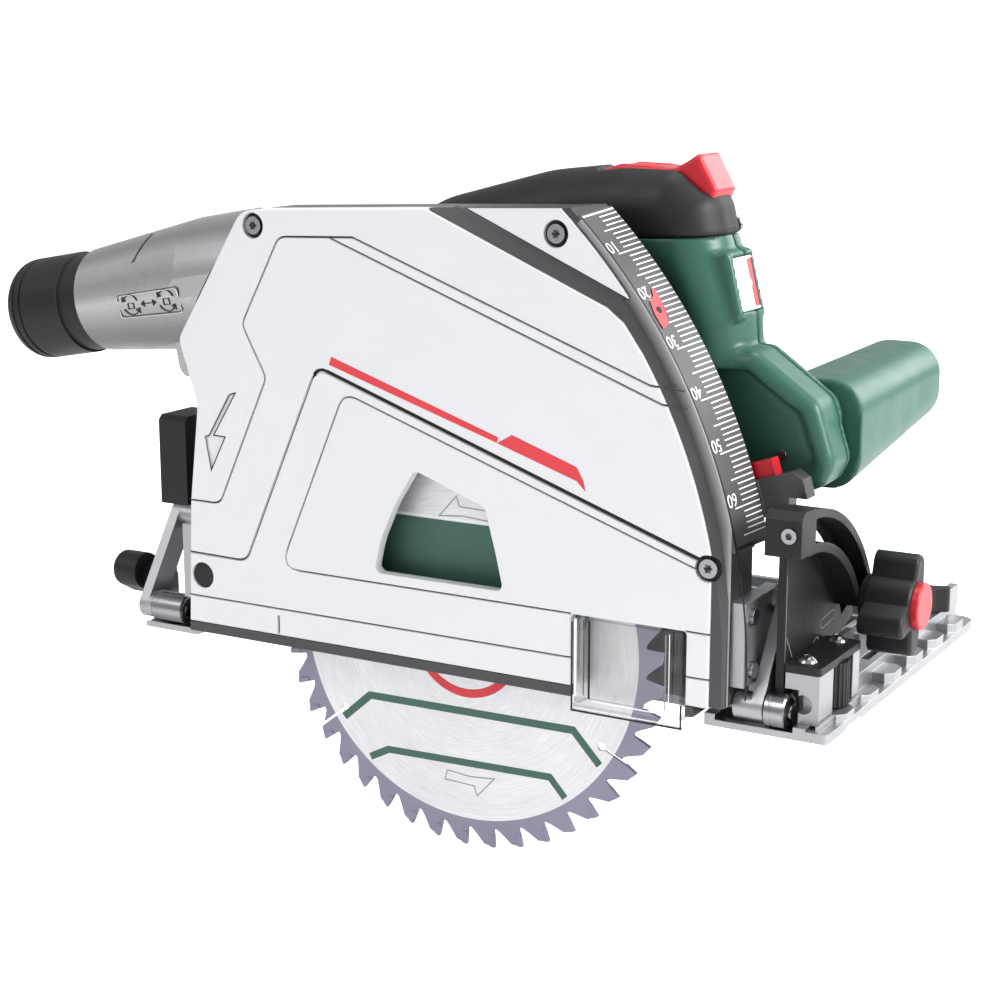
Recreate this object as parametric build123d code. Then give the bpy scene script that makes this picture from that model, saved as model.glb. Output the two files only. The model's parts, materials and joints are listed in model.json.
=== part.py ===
"""Track plunge saw, in millimetres.

+X is the feed direction (front), +Y points from the blade to the motor, +Z is up.
The origin lies on the sole plane, in the blade plane, below the blade centre of the
fully plunged saw.  Three frames stack on each other: the base plate, the guard that
tilts on it about a lengthwise axis, and the saw head that plunges in the guard.
"""
import os
from math import atan2, cos, degrees, hypot, radians, sin, tan

from build123d import *

# ---- blade and drive ------------------------------------------------------------------
BLADE_R = 82.5
CUT_DEPTH = 66.0
SPINDLE = (0.0, BLADE_R - CUT_DEPTH)      # X, Z of the blade centre, fully plunged
MOTOR = (-8.0, 48.0)
BLADE_BODY_T = 1.2
KERF = 1.8
SLOT_ANGLES = (92.0, 213.8, 329.8)        # expansion slots of the blade
TEETH = 42
FLANGE_R = 15.0
SPINDLE_R = 5.0
MODULE = 1.0
OUTPUT_TEETH = 24
IDLER_SMALL_TEETH = 14
IDLER_LARGE_TEETH = 28
PINION_TEETH = 10

# ---- hinges ---------------------------------------------------------------------------
PIVOT = (-114.0, 28.0)                    # X, Z of the plunge pin
PIVOT_R = 6.0
PLUNGE_DEG = 36.0
TILT = (0.0, 8.5)                         # Y, Z of the bevel axis
TILT_PIN_R = 3.0
RUN = 0.05                                # running clearance on a radius
GAP = 0.2                                 # gap between fixed neighbours

# ---- guard ----------------------------------------------------------------------------
FACE_Y = -12.0                            # outer face of the cover
RIM_Y = -9.0                              # front flange of the housing
BACK_Y = 10.5                             # back wall of the housing
ARC = (-100.0, 20.0)                      # X, Z, centre of the depth scale arc
COVER_R = 208.4
RIM_R = 216.0
SCALE_FAR_R = 219.0
SCALE_FAR_Y = 12.5
HOUSING_FRONT_X = 109.5
COVER_FRONT_X = 104.0
COVER_BOTTOM_Z = 8.5
HOUSING_BOTTOM_Z = 4.5
CAVITY_NEAR_Y = -6.4
NOSE_R = 15.4                             # gear nose that passes through the back wall
NOSE_SLOT_R = 16.3

# ---- base -----------------------------------------------------------------------------
BASE_REAR_X = -151.5
BASE_FRONT_X = 144.5
BASE_NEAR_Y = -4.0
BASE_FAR_Y = 165.0
SOLE_T = 4.5
RIB_Z = 9.0
NOTCH_X = (-124.0, 99.0)
NOTCH_Y = 11.5
SECTOR_R = 71.0
SECTOR_INNER_R = 56.0
SLOT_R = (60.0, 66.5)
CLAMP = (57.0, 36.0)                      # Y, Z of both bevel clamp bolts
ELBOW = (22.0, 42.0)                      # Y, Z of the upper barrel of the tilt brackets
GUARD_REAR_X = -121.6
CLAMP_BOLT_R = 3.2
RAIL_WHEEL_X = (134.3, -142.3)            # front and rear eccentric adjusters
RAIL_WHEEL_R = (7.4, 5.0)
RAIL_Y = 23.0
RAIL_GROOVE = (8.0, 1.0)                  # half width and depth of the guide rail groove
GUIDE_KNOB = (15.0, 16.5)                 # Y, Z of the rear knob
CORNER_SCREW = (130.0, 141.0)             # X, Y of the guide screw at the front corner
ADJUSTER_SCREW_Y = (7.0, 36.0)
STOP_SCREW = (130.6, 72.6)                # X, Z of the bevel stop grub screw

# ---- head -----------------------------------------------------------------------------
SEAM_Y = 45.0                             # split plane of the handle shells
HANDLE_NEAR_Y = 22.5
HANDLE_FAR_Y = 67.5
SHELL_T = 2.6
SIDE_ROUND = 5.0                          # rounding along both sides of the handle
MOTOR_R = 31.0
SPOUT_Y = 14.0
SPOUT_DEG = 10.0
SPOUT_SWEEP_R = (84.0, 148.0)             # ring about the plunge pin that the spout fills
SPOUT_SWEEP_DEG = 42.0                    # where the raised handle ends short of the spout
BAR_X = 115.5
BAR_END_Y = 151.0


# ---- helpers --------------------------------------------------------------------------
def outline(*points):
    """Closed face through (u, v) or (u, v, radius) corners."""
    edges = []
    count = len(points)
    ends = []
    for i, point in enumerate(points):
        u, v = point[0], point[1]
        radius = point[2] if len(point) > 2 else 0
        if radius == 0:
            ends.append(((u, v), None, (u, v)))
            continue
        before = points[i - 1]
        after = points[(i + 1) % count]
        d1 = Vector(before[0] - u, before[1] - v).normalized()
        d2 = Vector(after[0] - u, after[1] - v).normalized()
        half = radians(d1.get_angle(d2)) / 2
        reach = radius / tan(half)
        middle = (d1 + d2).normalized()
        centre = Vector(u, v) + middle * (radius / sin(half))
        start = Vector(u, v) + d1 * reach
        end = Vector(u, v) + d2 * reach
        on_arc = centre - middle * radius
        ends.append(((start.X, start.Y), (on_arc.X, on_arc.Y), (end.X, end.Y)))
    for i, (start, on_arc, end) in enumerate(ends):
        if on_arc is not None:
            edges.append(ThreePointArc(start, on_arc, end))
        edges.append(Line(end, ends[(i + 1) % count][0]))
    return make_face(edges)


def along_x(face, x0, x1):
    """Extrude a (Y, Z) face from x0 to x1."""
    return extrude(Plane.YZ.offset(x0) * face, amount=x1 - x0)


def along_y(face, y0, y1):
    """Extrude an (X, Z) face from y0 to y1."""
    return extrude(Plane.XZ.offset(-y1) * face, amount=y1 - y0)


def along_z(face, z0, z1):
    """Extrude an (X, Y) face from z0 to z1."""
    return extrude(Plane.XY.offset(z0) * face, amount=z1 - z0)


def disc(centre, radius):
    """Round face at a (u, v) centre."""
    return Pos(centre[0], centre[1]) * Circle(radius)


def ring(centre, outer, inner):
    """Annular face at a (u, v) centre."""
    return disc(centre, outer) - disc(centre, inner)


def box(x0, x1, y0, y1, z0, z1):
    """Box between two corners."""
    centre = ((x0 + x1) / 2, (y0 + y1) / 2, (z0 + z1) / 2)
    return Pos(*centre) * Box(x1 - x0, y1 - y0, z1 - z0)


def polar(centre, radius, angle):
    """Point at a radius and an angle in degrees from a (u, v) centre."""
    return (centre[0] + radius * cos(radians(angle)), centre[1] + radius * sin(radians(angle)))


def wedge(centre, reach, start, end):
    """Face that covers the angles from start to end, out to about the reach."""
    steps = max(2, int((end - start) / 30) + 1)
    fan = [polar(centre, reach * 1.1, start + (end - start) * i / steps) for i in range(steps + 1)]
    return outline(centre, *fan)


def ring_part(centre, outer, inner, start, end):
    """Annular face between two angles."""
    return ring(centre, outer, inner) & wedge(centre, outer, start, end)


def hull(centre_a, radius_a, centre_b, radius_b):
    """Two discs joined by their outer tangents."""
    span = hypot(centre_b[0] - centre_a[0], centre_b[1] - centre_a[1])
    heading = degrees(atan2(centre_b[1] - centre_a[1], centre_b[0] - centre_a[0]))
    lean = 90 - degrees(atan2(radius_a - radius_b, (span ** 2 - (radius_a - radius_b) ** 2) ** 0.5))
    web = outline(
        polar(centre_a, radius_a, heading + lean), polar(centre_b, radius_b, heading + lean),
        polar(centre_b, radius_b, heading - lean), polar(centre_a, radius_a, heading - lean),
    )
    return disc(centre_a, radius_a) + web + disc(centre_b, radius_b)


def round_edges(solid, edges, radius):
    """Fillet edges, or leave them sharp where the kernel can't."""
    try:
        rounded = fillet(edges, radius)
    except Exception:
        return solid
    return rounded if rounded.is_valid else solid


def gear_face(teeth, centre, phase, bore):
    """Spur gear face with one tooth centred on the phase angle."""
    pitch_r = MODULE * teeth / 2
    root_r = pitch_r - 1.15 * MODULE
    tip_r = pitch_r + 0.8 * MODULE
    step = 360 / teeth
    corners = []
    for i in range(teeth):
        angle = phase + i * step
        corners.append(polar(centre, root_r, angle - 0.30 * step))
        corners.append(polar(centre, tip_r, angle - 0.12 * step))
        corners.append(polar(centre, tip_r, angle + 0.12 * step))
        corners.append(polar(centre, root_r, angle + 0.30 * step))
    return outline(*corners) - disc(centre, bore)


def idler_centre():
    """Idler axis, at both gear centre distances from the spindle and the motor."""
    low = MODULE * (OUTPUT_TEETH + IDLER_SMALL_TEETH) / 2
    high = MODULE * (IDLER_LARGE_TEETH + PINION_TEETH) / 2
    span = hypot(MOTOR[0] - SPINDLE[0], MOTOR[1] - SPINDLE[1])
    along = (low ** 2 - high ** 2 + span ** 2) / (2 * span)
    aside = (low ** 2 - along ** 2) ** 0.5
    ux, uz = (MOTOR[0] - SPINDLE[0]) / span, (MOTOR[1] - SPINDLE[1]) / span
    return (SPINDLE[0] + ux * along + uz * aside, SPINDLE[1] + uz * along - ux * aside)


IDLER = idler_centre()


def heading(a, b):
    """Angle in degrees from point a to point b."""
    return degrees(atan2(b[1] - a[1], b[0] - a[0]))


def socket_screw_y(x, z, head_r, head_t, shank_r, y_face, y_end, recess_r=1.6):
    """Screw along Y whose head lies outside y_face, with a six-lobed recess."""
    toward = 1 if y_end > y_face else -1
    low, high = sorted((y_face, y_face - toward * head_t))
    head = along_y(disc((x, z), head_r), low, high)
    low, high = sorted((y_face, y_end))
    shank = along_y(disc((x, z), shank_r), low, high)
    lobes = disc((x, z), recess_r * 0.72)
    for i in range(6):
        lobes += disc(polar((x, z), recess_r * 0.72, i * 60), recess_r * 0.3)
    outer = y_face - toward * head_t
    low, high = sorted((outer, outer + toward * head_t * 0.6))
    return head + shank - along_y(lobes, low, high)


# ---- guard: outlines ------------------------------------------------------------------
def guard_polygon(bottom, front, grow=0.0):
    """(X, Z) outline shared by the cover and the housing, before the scale arc cuts it."""
    return outline(
        (-121.5 - grow, bottom),
        (-119.2 - grow, 57.3),
        (-114.4 - grow, 96.4, 14),
        (-122.6 - grow, 121.5, 5),
        (-91.5 - grow, 171.5 + grow, 9),
        (-81.0, 173.1 + grow),
        (-11.3, 176.0 + grow),
        (60.0, 178.5 + grow),
        (front + 40.0, 178.5 + grow),
        (front + 40.0, 70.0),
        (front, 64.0),
        (front, bottom),
    )


def cover_face():
    """(X, Z) face of the raised cover panel."""
    panel = guard_polygon(COVER_BOTTOM_Z, COVER_FRONT_X) & disc(ARC, COVER_R)
    corner = outline((-8.0, 175.4), (63.0, 145.2), (69.6, 140.2), (77.2, 129.7), (160.0, 129.7), (160.0, 200.0), (-8.0, 200.0))
    return panel - corner - chip_notch(COVER_BOTTOM_Z - 2)


def chip_notch(bottom):
    """(X, Z) cut at the front of the guard, where the clear chip guard sits."""
    return outline((50.0, bottom), (50.0, 35.0, 1.5), (95.0, 35.0, 1.5), (95.0, bottom))


def window_face():
    """(X, Z) sight window, with a curved rear side."""
    return outline(
        (-33.0, 39.6, 2.5), (-30.4, 51.5, 30), (-23.5, 67.0, 25), (-14.8, 80.6, 3),
        (14.9, 69.8, 2.5), (19.4, 53.5, 40), (22.6, 39.6, 2.5),
    )


def corner_panel_face():
    """(X, Z) face of the light insert in the upper front corner."""
    slope = outline((3.5, 177.6), (71.8, 147.4, 1.2), (71.8, 200.0), (3.5, 200.0))
    return slope & guard_polygon(COVER_BOTTOM_Z, COVER_FRONT_X) & disc(ARC, 213.6)


def groove(points, width, depth):
    """Groove of the given width along a polyline on the cover face."""
    cut = None
    for a, b in zip(points, points[1:]):
        bar = hull(a, width / 2, b, width / 2)
        cut = bar if cut is None else cut + bar
    return along_y(cut, FACE_Y - 1, FACE_Y + depth)


def bent(points, radius, steps=4):
    """Polyline whose inner corners are replaced by short arcs of the radius."""
    path = [points[0]]
    for before, corner, after in zip(points, points[1:], points[2:]):
        d1 = Vector(before[0] - corner[0], before[1] - corner[1]).normalized()
        d2 = Vector(after[0] - corner[0], after[1] - corner[1]).normalized()
        half = radians(d1.get_angle(d2)) / 2
        reach = radius / tan(half)
        start, end = Vector(*corner) + d1 * reach, Vector(*corner) + d2 * reach
        for i in range(steps + 1):
            t = i / steps
            mid = start * (1 - t) ** 2 + Vector(*corner) * 2 * t * (1 - t) + end * t ** 2
            path.append((mid.X, mid.Y))
    path.append(points[-1])
    return path


# ---- guard ----------------------------------------------------------------------------
COVER_SCREWS = ((-85.3, 166.6), (102.6, 58.4))
PANEL_SCREW = (42.3, 169.0)
SCREW_WELL_R = 4.8


def guard_cover():
    """Light front panel with its sight window, grooves and recessed arrow."""
    face = cover_face() - window_face()
    plate = along_y(face, FACE_Y, FACE_Y + 4.4)
    plate = round_edges(plate, plate.faces().sort_by(Axis.Y)[0].outer_wire().edges(), 1.0)
    pocket = along_y(offset(cover_face(), amount=-3.2), FACE_Y + 2.4, FACE_Y + 5)
    plate -= pocket - along_y(offset(window_face(), amount=2.2), FACE_Y + 2, FACE_Y + 6)
    for x, z in COVER_SCREWS:
        boss = along_y(disc((x, z), SCREW_WELL_R + 1.6) & cover_face(), FACE_Y + 2, FACE_Y + 4.4)
        plate += boss
        plate -= along_y(disc((x, z), SCREW_WELL_R), FACE_Y - 1, FACE_Y + 1.8)
        plate -= along_y(disc((x, z), 1.9), FACE_Y - 1, FACE_Y + 5)
    plate -= along_y(disc(PIVOT, 5.2), FACE_Y - 1, FACE_Y + 5)
    for points, width, depth in cover_grooves():
        plate -= groove(points, width, depth)
    arrow = outline((-98.5, 101.5), (-95.5, 102.5), (-106.5, 85.0), (-101.0, 84.8), (-108.2, 71.0),
                    (-110.6, 84.2), (-108.8, 84.6))
    return plate - along_y(arrow, FACE_Y - 1, FACE_Y + 0.5)


def cover_grooves():
    """Groove polylines (X, Z) with their width and depth."""
    long_slope = (92.5, 118.5), (93.5, 112.5)
    outer = bent([(-120, 58.1), (-104.5, 58.1), (-80.8, 109.6), (-91.5, 129.3), (-73.5, 163.0), (-40.6, 164.2)], 5)
    upper = [(-40.6, 164.2), (79.8, 119.6), long_slope[0]]
    lower = [(-50.7, 163.6), (84.4, 113.4), long_slope[1]]
    middle = bent([(-120.5, 36.9), (-92.5, 36.5), (-57.5, 115.6), (100.0, 61.0)], 6)
    inner = bent([(50.0, 35.4), (-76.2, 35.8), (-45.5, 106.8), (100.0, 57.2)], 6)
    return [
        (outer, 0.8, 0.9), (upper, 0.8, 0.9), (lower, 0.8, 0.9), (middle[:8], 1.0, 0.9), (middle[7:], 1.8, 0.9),
        (inner, 0.7, 0.7), ([(95.0, 35.3), (104.5, 35.2)], 0.7, 0.7), ([(-121.5, 19.4), (50.0, 19.1)], 0.7, 0.7),
        ([(95.0, 19.0), (104.5, 19.0)], 0.7, 0.7), ([(-77.7, 16.2), (-77.7, 9.6)], 1.0, 0.7),
    ]


def corner_panel():
    """Light insert in the upper front corner of the guard."""
    face = offset(corner_panel_face(), amount=-0.3)
    plate = along_y(face, RIM_Y - 1.2, RIM_Y + 1.2)
    plate -= along_y(disc(PANEL_SCREW, SCREW_WELL_R), RIM_Y - 2, RIM_Y + 0.3)
    return plate - along_y(disc(PANEL_SCREW, 1.9), RIM_Y - 2, RIM_Y + 2)


def housing_outline(arc_r, bottom=HOUSING_BOTTOM_Z, front=HOUSING_FRONT_X):
    """(X, Z) outer outline of the guard housing."""
    return guard_polygon(bottom, front) & disc(ARC, arc_r)


def arc_cone(r_near, r_far, y_near, y_far):
    """Cone about the scale arc axis, between two Y planes."""
    cone = Cone(r_far, r_near, y_far - y_near, align=(Align.CENTER, Align.CENTER, Align.MAX))
    return Pos(ARC[0], y_near, ARC[1]) * Rot(90, 0, 0) * cone


def diagonal_cut():
    """Cutter that slopes the housing down from the cover to the corner panel."""
    run, drop = 5.6, RIM_Y - FACE_Y - 0.4
    lean = degrees(atan2(29.8, 70.0))
    across = (sin(radians(lean)), 0, cos(radians(lean)))
    down = (cos(radians(lean)), 0, -sin(radians(lean)))
    plane = Plane(origin=(-8.0, FACE_Y + 0.4, 175.4), x_dir=across, z_dir=down)
    face = outline((0.2, 0), (run, -drop), (60, -drop), (60, 10), (0.2, 10))
    return extrude(plane * face, amount=160, both=True)


def guard_housing():
    """Dark housing around the blade: front flange, arc wall and back wall."""
    scale_seat = arc_cone(RIM_R - 1.0, SCALE_FAR_R - 1.0, RIM_Y, SCALE_FAR_Y)
    body = along_y(housing_outline(SCALE_FAR_R + 1), RIM_Y, SCALE_FAR_Y) & scale_seat
    body += along_y(housing_outline(RIM_R), RIM_Y, RIM_Y + 1.0)
    lip = along_y(housing_outline(RIM_R), FACE_Y, RIM_Y)
    lip &= arc_cone(COVER_R + 0.4, COVER_R + 3.4, FACE_Y + 0.4, RIM_Y)
    body += lip - diagonal_cut()
    body -= along_y(offset(cover_face(), amount=GAP), FACE_Y - 1, FACE_Y + 4.4 + GAP)
    body -= along_y(corner_panel_face(), RIM_Y - 4, RIM_Y + 1.2 + GAP)
    body -= along_y(offset(cover_face(), amount=-3.0), FACE_Y - 1, CAVITY_NEAR_Y)
    body -= along_y(cavity_face(), CAVITY_NEAR_Y, BACK_Y - 2.5)
    body -= along_y(chip_notch(0), FACE_Y - 1, -0.9 - KERF)
    body -= box(98.0, 112.0, -20, 20, 0.0, 9.3)
    body -= along_y(disc(ARC, RIM_R - 4) + box_face(-130.0, 120.0, 0.0, 62.0), BACK_Y, 20)
    reach = hypot(SPINDLE[0] - PIVOT[0], SPINDLE[1] - PIVOT[1])
    path = CenterArc(PIVOT, reach, heading(PIVOT, SPINDLE) - 3, PLUNGE_DEG + 4)
    body -= along_y(SlotArc(path, height=2 * NOSE_SLOT_R), 0, 20)
    body -= along_y(disc(PIVOT, PIVOT_R), -20, 20)
    for place, seat in screw_seats():
        post_top = seat + (1.1 if place == PANEL_SCREW else 2.8)
        body += along_y(disc(place, 4.4) & housing_outline(RIM_R), post_top, BACK_Y)
        body -= along_y(disc(place, SCREW_WELL_R), -20, seat)
        body -= along_y(disc(place, 1.6), -20, 6)
    return body - (spout_cone(21.0, 21.0, -70, 0) & box(-140, -80, CAVITY_NEAR_Y + 0.4, BACK_Y - 3, 90, 180))


def box_face(u0, u1, v0, v1):
    """Rectangle between two corners."""
    return outline((u0, v0), (u1, v0), (u1, v1), (u0, v1))


def cavity_face():
    """(X, Z) space inside the guard, open at the bottom for the blade."""
    inner = outline(
        (-88.0, -5.0), (-92.0, 20.0, 12), (-100.0, 44.0, 12), (-114.5, 62.0, 8), (-110.5, 96.4, 14),
        (-118.0, 121.5, 6), (-89.5, 167.0, 8), (-11.3, 172.2), (66.0, 174.5), (106.0, 100.0),
        (103.0, 60.0, 4), (101.0, 44.0, 6), (94.0, 20.0, 8), (90.0, -5.0),
    )
    return inner & disc(ARC, SCALE_FAR_R - 7.0)


def depth_scale():
    """Curved scale strip along the arc wall of the guard."""
    outer = arc_cone(RIM_R, SCALE_FAR_R, RIM_Y + 1.0, SCALE_FAR_Y)
    inner = arc_cone(RIM_R - 1.0, SCALE_FAR_R - 1.0, RIM_Y, SCALE_FAR_Y)
    sector_y = along_y(wedge(ARC, SCALE_FAR_R, 12.3, 46.0), RIM_Y + 1.0, SCALE_FAR_Y)
    return (outer - inner) & sector_y


def screw_seats():
    """(X, Z) of each guard screw, with the Y of the seat of its head."""
    seats = [(place, FACE_Y + 1.8) for place in COVER_SCREWS]
    return seats + [(PANEL_SCREW, RIM_Y + 0.3)]


def guard_screws():
    """Lobed screws in the wells of the cover, and the screws of both tilt brackets."""
    group = []
    for (x, z), seat in screw_seats():
        group.append(socket_screw_y(x, z, 3.4, 1.6, 1.55, seat, 4.0))
    for wall_x, sign in ((HOUSING_FRONT_X, 1), (GUARD_REAR_X, -1)):
        for z in (22.0, 41.0):
            x0, x1 = sorted((wall_x + sign * 5.5, wall_x + sign * 7.3))
            group.append(along_x(disc((-2.0, z), 2.9), x0, x1))
    return Compound(group)


def plunge_pin():
    """Stepped pivot pin through the guard, on which the saw head swings."""
    pin = along_y(disc(PIVOT, PIVOT_R), CAVITY_NEAR_Y, 39.0)
    return pin + along_y(disc(PIVOT, 9.5), 39.0, 41.0)


def pivot_plug():
    """Domed plug that closes the pivot bore in the cover."""
    plug = along_y(disc(PIVOT, 5.0), FACE_Y + 0.6, CAVITY_NEAR_Y)
    return round_edges(plug, plug.faces().sort_by(Axis.Y)[0].edges(), 0.6)


def spout_cone(r_base, r_end, start, end):
    """Cone along the spout axis between two distances from its reference point."""
    place = Pos(-141.0, SPOUT_Y, 137.5) * Rot(0, -(90 + SPOUT_DEG), 0)
    align = (Align.CENTER, Align.CENTER, Align.MIN)
    if r_base == r_end:
        return place * Pos(0, 0, start) * Cylinder(r_base, end - start, align=align)
    return place * Pos(0, 0, start) * Cone(r_base, r_end, end - start, align=align)


def dust_spout():
    """Tapered extraction tube on the upper rear corner of the guard."""
    tube = spout_cone(26.2, 21.0, -18, 38) + spout_cone(26.2, 26.2, -40, -18)
    tube += spout_cone(26.2, 26.2, -58, -40) & box(-140, -60, -30, BACK_Y, 80, 171.4)
    lug = along_y(hull((-127.0, 109.5), 5.0, (-128.5, 122.0), 6.0), 0.0, 4.0)
    tube += lug
    tube -= along_y(guard_polygon(0.0, HOUSING_FRONT_X, 0.05), -30, BACK_Y)
    tube -= along_y(disc((-126.0, 110.0), 2.8), -5, 8)
    tube -= spout_cone(22.6, 18.6, -16, 20) + spout_cone(22.6, 22.6, -38, -16)
    tube -= spout_cone(18.6, 18.6, 10, 40)
    tube -= spout_cone(21.0, 21.0, -60, -8) & box(-140, -80, -8.5, BACK_Y, 90, 180)
    tube -= box(-160, -100, -60, FACE_Y + 0.1, 80, 200)
    clearance = along_y(ring(PIVOT, 300, SPOUT_SWEEP_R[1] - 2.5), HANDLE_NEAR_Y - 1, 60)
    return tube - clearance


def dust_adapter():
    """Swivelling hose connector in the end of the spout."""
    body = spout_cone(18.5, 18.5, 20.2, 38.2)
    body += spout_cone(20.0, 20.0, 38.15, 48.0)
    cap = spout_cone(20.8, 20.8, 48.0, 79.0)
    cap = round_edges(cap, cap.edges().filter_by(GeomType.CIRCLE).sort_by(Axis.X)[0], 7.5)
    body += cap
    for at in (68.0, 71.5):
        body -= spout_cone(22.0, 22.0, at, at + 1.2) - spout_cone(20.2, 20.2, at, at + 1.2)
    return body - spout_cone(17.0, 17.0, 10, 90)


def chip_guard():
    """Clear sliding window in front of the blade."""
    plate = box(51.5, 93.5, -11.0, -9.4, -0.5, 33.8)
    plate += box(51.5, 53.3, -9.4, -3.6, 2.0, 33.8)
    plate += box(91.7, 93.5, -9.4, -3.6, 2.0, 33.8)
    return plate + box(50.6, 94.4, -12.6, -9.4, -0.5, 1.6)


def tilt_arm(wall_x, face_x, end_x, barrel_x, boss_x):
    """Bracket from the guard wall over an elbow to the bevel pin and the clamp bolt."""
    sign = 1 if end_x > wall_x else -1
    foot_x = wall_x + sign * 5.5

    def slab(face, a, b):
        return along_x(face, min(a, b), max(a, b))

    arm = slab(hull(TILT, 5.2, ELBOW, 5.2) + hull(ELBOW, 5.2, CLAMP, 7.5), face_x, end_x)
    arm += slab(disc(TILT, 5.2), barrel_x, end_x)
    arm += slab(disc(ELBOW, 5.2), foot_x - sign * 0.5, end_x)
    arm += slab(disc(CLAMP, 6.5), face_x, boss_x)
    foot = outline((-7.5, 16.5), (8.0, 16.5), (17.0, 36.0), (27.0, 40.0), (24.0, 46.5), (-7.5, 46.5))
    arm += slab(foot, wall_x, foot_x)
    arm -= slab(disc(TILT, TILT_PIN_R + RUN), wall_x, end_x + sign)
    return arm - slab(disc(CLAMP, CLAMP_BOLT_R + RUN), wall_x, end_x + sign * 20)


def front_tilt_arm():
    """Light-metal bracket on the guard that swings about the front bevel pin."""
    return tilt_arm(HOUSING_FRONT_X, 116.5, 121.0, 110.0, 122.7)


def rear_tilt_arm():
    """Light-metal bracket on the guard that swings about the rear bevel pin."""
    arm = tilt_arm(GUARD_REAR_X, -148.5, -153.0, -146.3, -136.4)
    return arm - along_y(disc(PIVOT, 11.6), 11.0, 40.0)


def bevel_pointer():
    """Red pointer on the front bracket, beside the bevel scale."""
    return along_x(outline((36.0, 47.5), (44.5, 44.5), (41.0, 38.5)), 121.0, 122.4)


# ---- base -----------------------------------------------------------------------------
def base_plate():
    """Cast sole with its rail groove, ribs, blade notch and front pockets."""
    sole = outline(
        (BASE_REAR_X, BASE_NEAR_Y, 2), (NOTCH_X[0], BASE_NEAR_Y), (NOTCH_X[0], NOTCH_Y), (-22.0, NOTCH_Y),
        (-22.0, 42.0, 4), (24.0, 42.0, 4), (24.0, NOTCH_Y), (NOTCH_X[1], NOTCH_Y), (NOTCH_X[1], BASE_NEAR_Y),
        (BASE_FRONT_X, BASE_NEAR_Y, 2), (BASE_FRONT_X, BASE_FAR_Y, 6), (BASE_REAR_X, BASE_FAR_Y, 6),
    )
    plate = along_z(sole, 0, SOLE_T - 1.0)
    plate += along_z(sole & box_face(BASE_REAR_X, BASE_FRONT_X - 8, -10, BASE_FAR_Y), 0, SOLE_T)
    rim_w = 3.0
    ribs = box(BASE_REAR_X + 4, BASE_FRONT_X - 10, BASE_FAR_Y - rim_w, BASE_FAR_Y, SOLE_T - 0.1, RIB_Z)
    ribs += box(BASE_REAR_X, BASE_REAR_X + rim_w, 72, BASE_FAR_Y - 3, SOLE_T - 0.1, RIB_Z)
    for y in (76, 100, 124, 144):
        ribs += box(BASE_REAR_X + 1, 118, y, y + 2.5, SOLE_T - 0.1, RIB_Z)
    for i in range(7):
        x = -120 + i * 38
        ribs += box(x, x + 2.5, 76, BASE_FAR_Y - 1, SOLE_T - 0.1, RIB_Z - 1)
    ribs += box(-110, 100, 43.5, 46, SOLE_T - 0.1, 8.0)
    plate += ribs
    plate += front_rail()
    plate += box(-158.0, BASE_REAR_X + 1, 9.5, 21.5, 0.6, 3.0) + box(-158.0, -153.6, 9.5, 21.5, 2.9, 16.5)
    plate += along_x(disc(GUIDE_KNOB, 6.0), -158.0, -153.6)
    plate -= along_x(disc(GUIDE_KNOB, 3.0 + RUN), -160, -145)
    plate -= box(-200, 200, RAIL_Y - RAIL_GROOVE[0], RAIL_Y + RAIL_GROOVE[0], -1, RAIL_GROOVE[1])
    plate -= along_x(disc(TILT, 7.2), 103.0, 132.0) + along_x(disc(TILT, 7.2), -170.0, -125.0)
    for x in RAIL_WHEEL_X:
        plate -= along_z(disc((x, RAIL_Y), 3.0 + RUN), -1, 12)
    for x, y in sector_screw_places():
        plate -= along_z(disc((x, y), 2.1), -1, 12)
    return plate - along_z(disc(CORNER_SCREW, 2.5 + RUN), -1, 12)


def sector_screw_places():
    """(X, Y) of the screws that hold both quadrants to the sole."""
    return [(x, y) for x in (107.0, -128.8) for y in (50.0, 66.0)]


def front_rail():
    """Raised front edge of the sole, with a row of open pockets and an end upstand."""
    rail = box(126.5, 136.5, 44.0, BASE_FAR_Y - 1, SOLE_T - 0.1, 8.0)
    rail += box(139.8, 141.0, -3.0, 43.0, SOLE_T - 1.1, 5.8)
    rail += box(133.5, 136.5, 44.0, BASE_FAR_Y - 1, SOLE_T - 0.1, 10.0)
    for i in range(6):
        y = 12.0 + i * 25.0
        x0 = 141.0 if y < 40 else 136.0
        tooth = outline((x0, y), (141.5, y), (144.3, y + 3.0), (144.3, y + 11.0), (141.5, y + 14.0), (x0, y + 14.0))
        rail += along_z(tooth, SOLE_T - 1.1, 5.8 if y < 40 else 7.0)
    for i in range(5):
        if i != 3:
            rail -= box(128.0, 132.0, 49.0 + i * 24.0, 65.0 + i * 24.0, SOLE_T, 12)
    return rail + box(133.5, 137.0, 152.0, BASE_FAR_Y - 1, 8.0, 17.0)


def quadrant_ring(web, flange):
    """Slotted band of a bevel quadrant, stiffened by two arc flanges."""
    band = ring_part(TILT, SECTOR_R, SECTOR_INNER_R, 14, 92)
    slot = ring_part(TILT, SLOT_R[1], SLOT_R[0], 20, 84)
    part = along_x(band - slot, *web)
    part += along_x(ring_part(TILT, SECTOR_R, SECTOR_R - 3.0, 20, 92), *flange)
    return part + along_x(ring_part(TILT, SLOT_R[0] - 0.6, SECTOR_INNER_R, 28, 92), *flange)


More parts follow.
